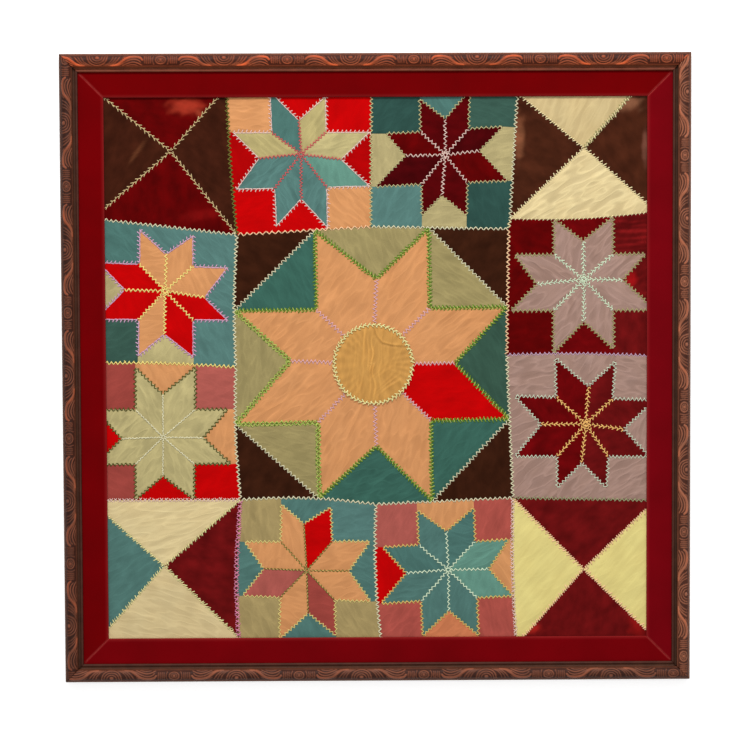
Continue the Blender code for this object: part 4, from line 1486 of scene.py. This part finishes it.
def bar_mesh(name, grid):
    """A closed bar: the section goes round, and both cut ends are filled from a middle point."""
    rows, around = grid.shape[:2]
    middles = grid[[0, -1]].mean(axis=1)
    points = np.vstack([grid.reshape(-1, 3), middles])
    steps = np.arange(around)
    after = (steps + 1) % around
    hubs = rows * around + np.zeros(around, int)
    first = np.column_stack([after, steps, hubs])
    last = np.column_stack([steps, after, hubs + 1]) + [(rows - 1) * around, (rows - 1) * around, 0]
    mesh = make_mesh(name, points, grid_faces(rows, around, True), np.vstack([first, last]))
    row, column = np.divmod(np.arange((rows - 1) * around), around)
    per_cell = (rows - 1) // UV_CELLS**2
    cell, within = np.divmod(row, per_cell)
    u = np.stack([within, within, within + 1, within + 1], axis=1) / per_cell
    v = np.stack([column, column + 1, column + 1, column], axis=1) / around
    down, over = np.divmod(cell, UV_CELLS)
    layout = np.stack([over[:, None] + 0.02 + 0.96 * u, down[:, None] + 0.02 + 0.96 * v], axis=2)
    ends = np.full((6 * around, 2), 0.004) + 0.004 * np.tile([(0, 0), (1, 0), (0, 1)], (2 * around, 1))
    put_uv(mesh, "OFBake", np.vstack([(layout / UV_CELLS).reshape(-1, 2), ends]))
    return mesh


# %% [markdown]
# ## The velvet liner
#
# Crimson velvet is glued over a flat wooden bar and rolled over its inner edge. The pile is dense and
# even and the mitres are rubbed lighter. Each bar's crimson is painted a little lighter or darker by its
# side, as painted light and shade, and the rolled edge of every bar is painted lighter, a painted
# highlight. The section is the solid's, with more points round the roll.

# %% Make the liner
LINER_TOP = 0.0110
LINER_BOTTOM = 0.0065
LINER_UNDERCUT = 0.0016
# Each bar's crimson: the same velvet painted lighter or darker by its side, as painted light and shade.
PAINTED_SIDE_CRIMSONS = {"bottom": (117, 2, 9), "right": (117, 4, 14), "top": (109, 0, 3), "left": (112, 0, 4)}
# The rubbed mitres and the painted highlight of the rolled edge are both mixed towards this colour.
RUBBED_AND_HIGHLIGHT_CRIMSON = (176, 60, 58)
LINER_STEPS = 156
# Extra stations near the mitres, in metres from the end of a bar
MITRE_STATIONS = (0.0009, 0.0019, 0.0034)
# Only the face above this height ripples, and it comes to rest this far before the rail's lip
FACE_FROM = 0.0100
FACE_FADE = 0.004
FACE_RIPPLE = 0.00010
FACE_WAVE = 38
# The groove of a mitre: its depth and half width, and how far the pile beside it is rubbed
MITRE_DEPTH = 0.0002
MITRE_WIDE = 0.0008
MITRE_RUBBED = 0.0011
MITRE_WAVE = 12
# How much lighter the rolled edge is painted, a painted highlight on every bar, and how far in that reaches
EDGE_HIGHLIGHT = 0.30
EDGE_HIGHLIGHT_REACH = 0.0022


def liner_section():
    """The liner's section, anticlockwise seen along the bar, from its rolled edge out and back."""
    roll = arc_points(0.0024, 0.0082, 0.0024, 200, 95, 9)
    outside = RABBET_HALF - GAP - SIGHT_HALF
    face = np.column_stack([np.linspace(roll[-1][0], LIP_HALF - SIGHT_HALF, 12)[1:],
                            np.linspace(roll[-1][1], LINER_TOP, 12)[1:]])
    back = np.array([(outside, LINER_TOP), (outside, LINER_BOTTOM), (LINER_UNDERCUT, LINER_BOTTOM)])
    return np.vstack([roll, face, back])


def velvet_liner_finish():
    """Crimson velvet: a deep even pile with faint brushed bands along the bar."""
    velvet = Finish("liner velvet", Sheen_Weight=0.08, Sheen_Roughness=0.4, Specular_IOR_Level=0.03,
                    Sheen_Tint=(0.60, 0.01, 0.03, 1.0))
    brushed = velvet.noise(14.0, 5.0).clamp(0.3, 0.72)
    tone = velvet.mix(brushed, (0.86, 0.82, 0.82, 1.0), (1.08, 1.08, 1.08, 1.0))
    fibre = velvet.mix(velvet.noise(1100.0, 3.0), (0.84, 0.84, 0.84, 1.0), (1.10, 1.10, 1.10, 1.0))
    colour = velvet.mix(1.0, velvet.attribute("dye"), tone, "MULTIPLY")
    colour = velvet.mix(1.0, colour, fibre, "MULTIPLY")
    return velvet.finish(colour, 0.86 + 0.08 * brushed, pile(velvet, 1300.0), 0.0004, 0.5)


def add_liner():
    """Four bars, each a quarter turn from the last, each crimson painted lighter or darker by side, with
    lighter dye along the rubbed mitres and a painted highlight along the rolled edge.
    """
    finish = velvet_liner_finish()
    section = liner_section()
    near_ends = 1 - np.array(MITRE_STATIONS) / LIP_HALF
    stations = np.sort(np.concatenate([np.linspace(-1, 1, LINER_STEPS + 1), near_ends, -near_ends]))
    for quarter, side in enumerate(("bottom", "right", "top", "left")):
        grid = bar_grid(section, SIGHT_HALF, stations)
        x, y = grid[..., 0] / MM, grid[..., 1] / MM
        face = (grid[..., 2] > FACE_FROM) * np.clip((LIP_HALF + grid[..., 1]) / FACE_FADE, 0, 1)
        grid[..., 2] += FACE_RIPPLE * clouds(x, y, FACE_WAVE, 300 + quarter) * face
        to_mitre = (-grid[..., 1] - np.abs(grid[..., 0])) / math.sqrt(2)
        grid[..., 2] -= MITRE_DEPTH * np.exp(-((to_mitre / MITRE_WIDE) ** 2)) * face
        worn = np.exp(-((to_mitre / MITRE_RUBBED) ** 2)) * face
        worn = worn * (0.75 + 0.25 * clouds(x, y, MITRE_WAVE, 320 + quarter))
        # The rolled edge of every bar is painted lighter: a painted highlight.
        edge = np.exp(-(((-grid[..., 1] - SIGHT_HALF) / EDGE_HIGHLIGHT_REACH) ** 2)) * EDGE_HIGHLIGHT
        share = np.clip(np.maximum(worn, edge), 0, 1)
        name = f"velvet_liner_{side}"
        mesh = bar_mesh(name, turned(grid, quarter))
        shares = np.append(share.ravel(), (0.0, 0.0))[corner_verts(mesh)][:, None]
        dye = linear(PAINTED_SIDE_CRIMSONS[side]) * (1 - shares) + linear(RUBBED_AND_HIGHLIGHT_CRIMSON) * shares
        put_colour(mesh, "dye", dye)
        add_piece(name, mesh, "liner_velvet", f"liner_{side}", materials=[finish])
        print(name, len(mesh.polygons), "faces")


add_liner()

# %% [markdown]
# ## The carved frame
#
# The rails are a narrow moulding: a small bead at the lip, a dark hollow, and a rounded band with
# low carving that repeats along the whole length. One repeat runs from one shell to the next: the shell
# in its two hoops, slanting ribs, a long wave crest over a leaf, three short bars and an eye, and then
# the same in reverse. A carver cuts such a pattern as strokes, so here each stroke is a bent line with
# a width and a height, and the relief at a point is the highest stroke over it. The band's surface is
# then pushed in or out, square to the moulding, by that height.

# %% Strokes of the carving
REPEAT = 188.2
BAND = 17.5
# Half a repeat, from the shell to the eye. Each stroke: half width, height, gilding, and its points
# as distance along and distance in from the outer edge, all in millimetres
STROKES = (
    (0.9, 0.8, 0.15, ((0, 14.8), (6, 13.8), (11.4, 10.6), (14.2, 5.8), (15.0, 1.6))),
    (0.8, 0.8, 0.10, ((0, 11.6), (4.6, 10.8), (9.0, 8.2), (11.0, 4.6), (11.6, 2.0))),
    (0.8, 0.7, 0.10, ((0, 8.8), (3.2, 8.0), (6.4, 5.8), (7.4, 2.6))),
    (2.0, 0.9, 0.30, ((0, 4.4), (1.2, 4.4))),
    (0.7, 0.7, 0.10, ((9.0, 15.0), (16, 12.2), (21, 8.2), (24, 3.0))),
    (0.7, 0.7, 0.15, ((12.4, 15.2), (19, 12.6), (25, 8.4), (28.6, 3.0))),
    (0.8, 0.7, 0.25, ((16, 15.4), (23, 12.8), (29, 8.6), (33.6, 3.2))),
    (1.7, 1.2, 0.75, ((20, 15.4), (29, 13.8), (37, 9.2), (44, 4.8), (54, 3.0), (63, 4.0), (67, 7.2))),
    (0.8, 0.8, 0.30, ((30, 15.4), (38, 12.0), (46, 8.2), (54, 6.6), (61, 7.8), (64.6, 10.6))),
    (0.9, 0.8, 0.20, ((37, 15.2), (45, 12.0), (53, 10.2), (60, 11.4), (66, 14.4))),
    (0.7, 0.6, 0.10, ((43, 15.4), (52, 13.6), (60, 15.0))),
    (0.6, 0.6, 0.15, ((37, 5.4), (42, 2.0))),
    (0.8, 0.7, 0.30, ((70.2, 2.2), (70.8, 11.6))),
    (0.7, 0.7, 0.25, ((73.2, 2.2), (73.6, 12.2))),
    (0.7, 0.7, 0.25, ((76.2, 2.2), (76.4, 12.2))),
    (0.8, 0.7, 0.30, ((79.2, 2.2), (79.2, 11.6))),
    (0.7, 0.7, 0.15, ((83.8, 1.8), (82.2, 7.4), (84.0, 13.4))),
    (0.9, 0.8, 0.20, ((94.1, 2.4), (89.0, 3.6), (86.8, 7.4), (89.2, 11.2), (94.1, 12.6))),
    (0.7, 0.7, 0.10, ((94.1, 4.8), (91.0, 5.6), (89.8, 7.4), (91.0, 9.4), (94.1, 10.2))),
    (1.5, 0.9, 0.30, ((93.2, 7.4), (94.1, 7.4))),
)
SMOOTH_STEPS = 7
# The strokes are carved this much fuller than charted, which leaves thin dark lines between them
FULLNESS = 1.18


def smooth_line(points):
    """A line through the points, rounded: a spline whose slope at a point is that of its neighbours."""
    points = np.array(points, float)
    padded = np.vstack([2 * points[0] - points[1], points, 2 * points[-1] - points[-2]])
    t = np.linspace(0, 1, SMOOTH_STEPS, endpoint=False)[:, None]
    runs = []
    for a, b, c, d in zip(padded, padded[1:], padded[2:], padded[3:]):
        curve = 2 * b + (c - a) * t + (2 * a - 5 * b + 4 * c - d) * t**2 + (3 * b - a - 3 * c + d) * t**3
        runs.append(curve / 2)
    return np.vstack(runs + [points[-1:]])


def carving(along, inward):
    """Relief and gilding at places on the band: along in a repeat, folded at the shell and the eye.

    A stroke's relief is its height times the square root of 1 - (distance / half width)^2.
    """
    place = np.abs((along + REPEAT / 2) % REPEAT - REPEAT / 2)
    relief = np.zeros(place.shape)
    gilt = np.zeros(place.shape)
    for half, height, gilding, points in STROKES:
        half = half * FULLNESS
        line = smooth_line(points)
        taper = 0.45 + 0.55 * np.sin(np.linspace(0.15, 0.85, len(line) - 1) * math.pi) ** 0.7
        for start, end, thick in zip(line, line[1:], half * taper):
            side = end - start
            near = (place > min(start[0], end[0]) - half) & (place < max(start[0], end[0]) + half)
            px, py = place[near] - start[0], inward[near] - start[1]
            share = np.clip((px * side[0] + py * side[1]) / (side @ side), 0, 1)
            away = np.hypot(px - share * side[0], py - share * side[1]) / thick
            bump = height * np.sqrt(np.clip(1 - away**2, 0, 1))
            higher = bump > relief[near]
            gilt[near] = np.where(higher, gilding * bump / height, gilt[near])
            relief[near] = np.maximum(relief[near], bump)
    return relief, gilt


# %% Wood
def carved_wood_finish():
    """Red-brown stain, nearly black in the hollows and rubbed to orange on the high places."""
    wood = Finish("carved wood", Specular_IOR_Level=0.16)
    grain = wood.noise(60.0, 5.0)
    fine = wood.noise(700.0, 3.0)
    tone = wood.mix(grain.clamp(0.3, 0.7), (0.78, 0.78, 0.78, 1.0), (1.18, 1.15, 1.12, 1.0))
    speck = wood.mix(fine, (0.82, 0.80, 0.78, 1.0), (1.14, 1.14, 1.14, 1.0))
    colour = wood.mix(1.0, wood.attribute("dye"), tone, "MULTIPLY")
    colour = wood.mix(1.0, colour, speck, "MULTIPLY")
    rough = 0.40 + 0.25 * grain
    return wood.finish(colour, rough, fine * 0.6 + grain * 0.4, 0.0004, 0.35)


def raw_wood_finish():
    """The board at the back: plain brown hardboard with a fine speckle."""
    board = Finish("hardboard", Specular_IOR_Level=0.25)
    fibre = board.noise(500.0, 4.0)
    broad = board.noise(9.0, 4.0)
    base = board.mix(broad.clamp(0.3, 0.7), (0.34, 0.21, 0.12, 1.0), (0.46, 0.31, 0.19, 1.0))
    speck = board.mix(fibre, (0.80, 0.80, 0.80, 1.0), (1.15, 1.15, 1.15, 1.0))
    colour = board.mix(1.0, base, speck, "MULTIPLY")
    return board.finish(colour, 0.7 + 0.2 * fibre, fibre, 0.0003, 0.4)


# %% Make the rails
RAIL_SECTION = (
    (0.0018, 0.0134, 0.0018, 180, 0, 6),
    (0.0056, 0.0150, 0.0021, 230, 335, 5),
    (0.0166, 0.0143, 0.0092, 160, 30, 26),
    (0.0250, 0.0160, 0.0020, 70, 0, 3),
)
RAIL_EASE = 0.0006
RAIL_LENGTHS = 765
RECESS = 0.55
# Stain in the hollows, on the plain wood, on the carving, and where it is rubbed
HOLLOW_STAIN = (66, 31, 20)
PLAIN_STAIN = (98, 54, 38)
RIDGE_STAIN = (138, 80, 58)
RUBBED_STAIN = (206, 96, 54)
COVE_STAIN = (70, 38, 24)
LIP_STAIN = (112, 62, 47)
# The rounded outer edge is lighter and greyer than the plain wood: its stain with a painted highlight.
EDGE_STAIN_AND_HIGHLIGHT = (116, 78, 62)
OUTSIDE_STAIN = (66, 38, 26)
# The carving of each rail has worn its own way, and each rail is painted lighter or darker by its side.
# Shell: how far its first shell is from its left end, seen from outside the frame, lower side. Rubbed:
# how much of the carving is rubbed to orange. Tint: what the whole rail's colour is multiplied by, as
# painted light and shade. Slope: how much lighter the band is painted at its inner foot, a painted
# highlight. Cove and lip: what the hollow's and the bead's stains are multiplied by, as painted light
# and shade.
RAILS = {
    "bottom": dict(shell=70.0, rubbed=0.22, tint=(0.86, 0.94, 0.97), slope=0.3, cove=1.6, lip=0.55),
    "right": dict(shell=130.0, rubbed=0.22, tint=(1.24, 1.44, 1.50), slope=0.4, cove=0.6, lip=0.35),
    "top": dict(shell=132.0, rubbed=0.85, tint=(0.95, 0.80, 0.66), slope=1.9, cove=2.9, lip=1.15),
    "left": dict(shell=103.0, rubbed=0.50, tint=(0.68, 0.74, 0.77), slope=0.5, cove=1.3, lip=0.6),
}
# The painted highlight at the band's inner foot starts this far in and grows over this run, in millimetres.
SLOPE_FROM = 10.0
SLOPE_RUN = 6.0
# The band starts this far before the carving and fades out over this run, in millimetres. The
# carving has its full stain from this relief on, and is rubbed in clouds of this length.
BAND_START = 0.6
FADE_RUN = 2.0
FULL_RELIEF = 0.8
RUB_WAVE = 30


def rail_section():
    """The rail's section from the lip outwards and back underneath, and which points are the band."""
    arcs = [arc_points(*row) for row in RAIL_SECTION]
    outside = FRAME_HALF - LIP_HALF
    rabbet = RABBET_HALF - LIP_HALF
    back = np.array([(outside, 0.008), (outside, RAIL_EASE), (outside - RAIL_EASE, 0.0), (rabbet, 0.0),
                     (rabbet, LIP_BOTTOM), (0.0, LIP_BOTTOM)])
    band = np.concatenate([np.full(len(part), i) for i, part in enumerate(arcs + [back])])
    return np.vstack(arcs + [back]), band


def rail_mesh(name, side, quarter):
    """One rail: the band is pushed along the arc's own radius by the relief of the carving."""
    section, part = rail_section()
    grid = bar_grid(section, LIP_HALF, np.linspace(-1, 1, RAIL_LENGTHS + 1))
    band = part == 2
    away = section[band] - RAIL_SECTION[2][:2]
    away /= np.linalg.norm(away, axis=1, keepdims=True)
    angle = np.degrees(np.arctan2(away[:, 1], away[:, 0]))
    first, last = RAIL_SECTION[2][3:5]
    inward = (angle - last) / (first - last) * BAND - BAND_START
    along = grid[:, band, 0] / MM + FRAME_HALF / MM - RAILS[side]["shell"]
    relief, gilt = carving(along, np.broadcast_to(inward, along.shape))
    fade = np.clip(np.minimum(inward + BAND_START, BAND - BAND_START - inward) / FADE_RUN, 0, 1)
    push = (relief - RECESS) * fade * MM
    grid[:, band, 1] -= push * away[:, 0]
    grid[:, band, 2] += push * away[:, 1]
    colour = np.empty((*grid.shape[:2], 3))
    colour[:] = linear(PLAIN_STAIN)
    # Each rail's bead and hollow are multiplied by its own share of painted light and shade.
    colour[:, part == 0] = linear(LIP_STAIN) * RAILS[side]["lip"]
    colour[:, part == 1] = linear(COVE_STAIN) * RAILS[side]["cove"]
    # The rounded outer edge: its stain with a painted highlight.
    colour[:, part == 3] = linear(EDGE_STAIN_AND_HIGHLIGHT)
    colour[:, part >= 4] = linear(OUTSIDE_STAIN)
    high = np.clip(relief / FULL_RELIEF, 0, 1)[..., None] * fade[None, :, None]
    rub = 0.5 + 0.5 * clouds(along, np.broadcast_to(inward, along.shape), RUB_WAVE, 600 + quarter)
    gold = np.clip(RAILS[side]["rubbed"] * gilt * (0.3 + 1.1 * rub), 0, 1)[..., None]
    stain = linear(HOLLOW_STAIN) + high * (linear(RIDGE_STAIN) - linear(HOLLOW_STAIN))
    plain = (1 - fade)[None, :, None]
    stain = stain + plain * (linear(PLAIN_STAIN) - stain)
    # Painted highlight: the band is painted lighter towards its inner foot, by the rail's slope.
    lighter = 1 + RAILS[side]["slope"] * np.clip((inward - SLOPE_FROM) / SLOPE_RUN, 0, 1)
    colour[:, band] = (stain + gold * (linear(RUBBED_STAIN) - stain)) * lighter[None, :, None]
    # Painted light and shade: the whole rail's colour is multiplied by its side's tint.
    colour *= RAILS[side]["tint"]
    mesh = bar_mesh(name, turned(grid, quarter))
    flat = np.vstack([colour.reshape(-1, 3), np.tile(linear(PLAIN_STAIN), (2, 1))])
    put_colour(mesh, "dye", flat[corner_verts(mesh)])
    return mesh


CARVED_WOOD = carved_wood_finish()
for quarter, side in enumerate(("bottom", "right", "top", "left")):
    rail = rail_mesh(f"carved_rail_{side}", side, quarter)
    add_piece(rail.name, rail, "carved_wood", f"rail_{side}", materials=[CARVED_WOOD])
    print(rail.name, len(rail.polygons), "faces")

# %% [markdown]
# ## The board
#
# Only its back shows, when the frame is turned over. The solid's shape is right as it is, so it keeps
# its mesh and gets a finish.

# %% Finish the board
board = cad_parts["mount_board"]
board.data.materials.clear()
board.data.materials.append(raw_wood_finish())
print("board finished")
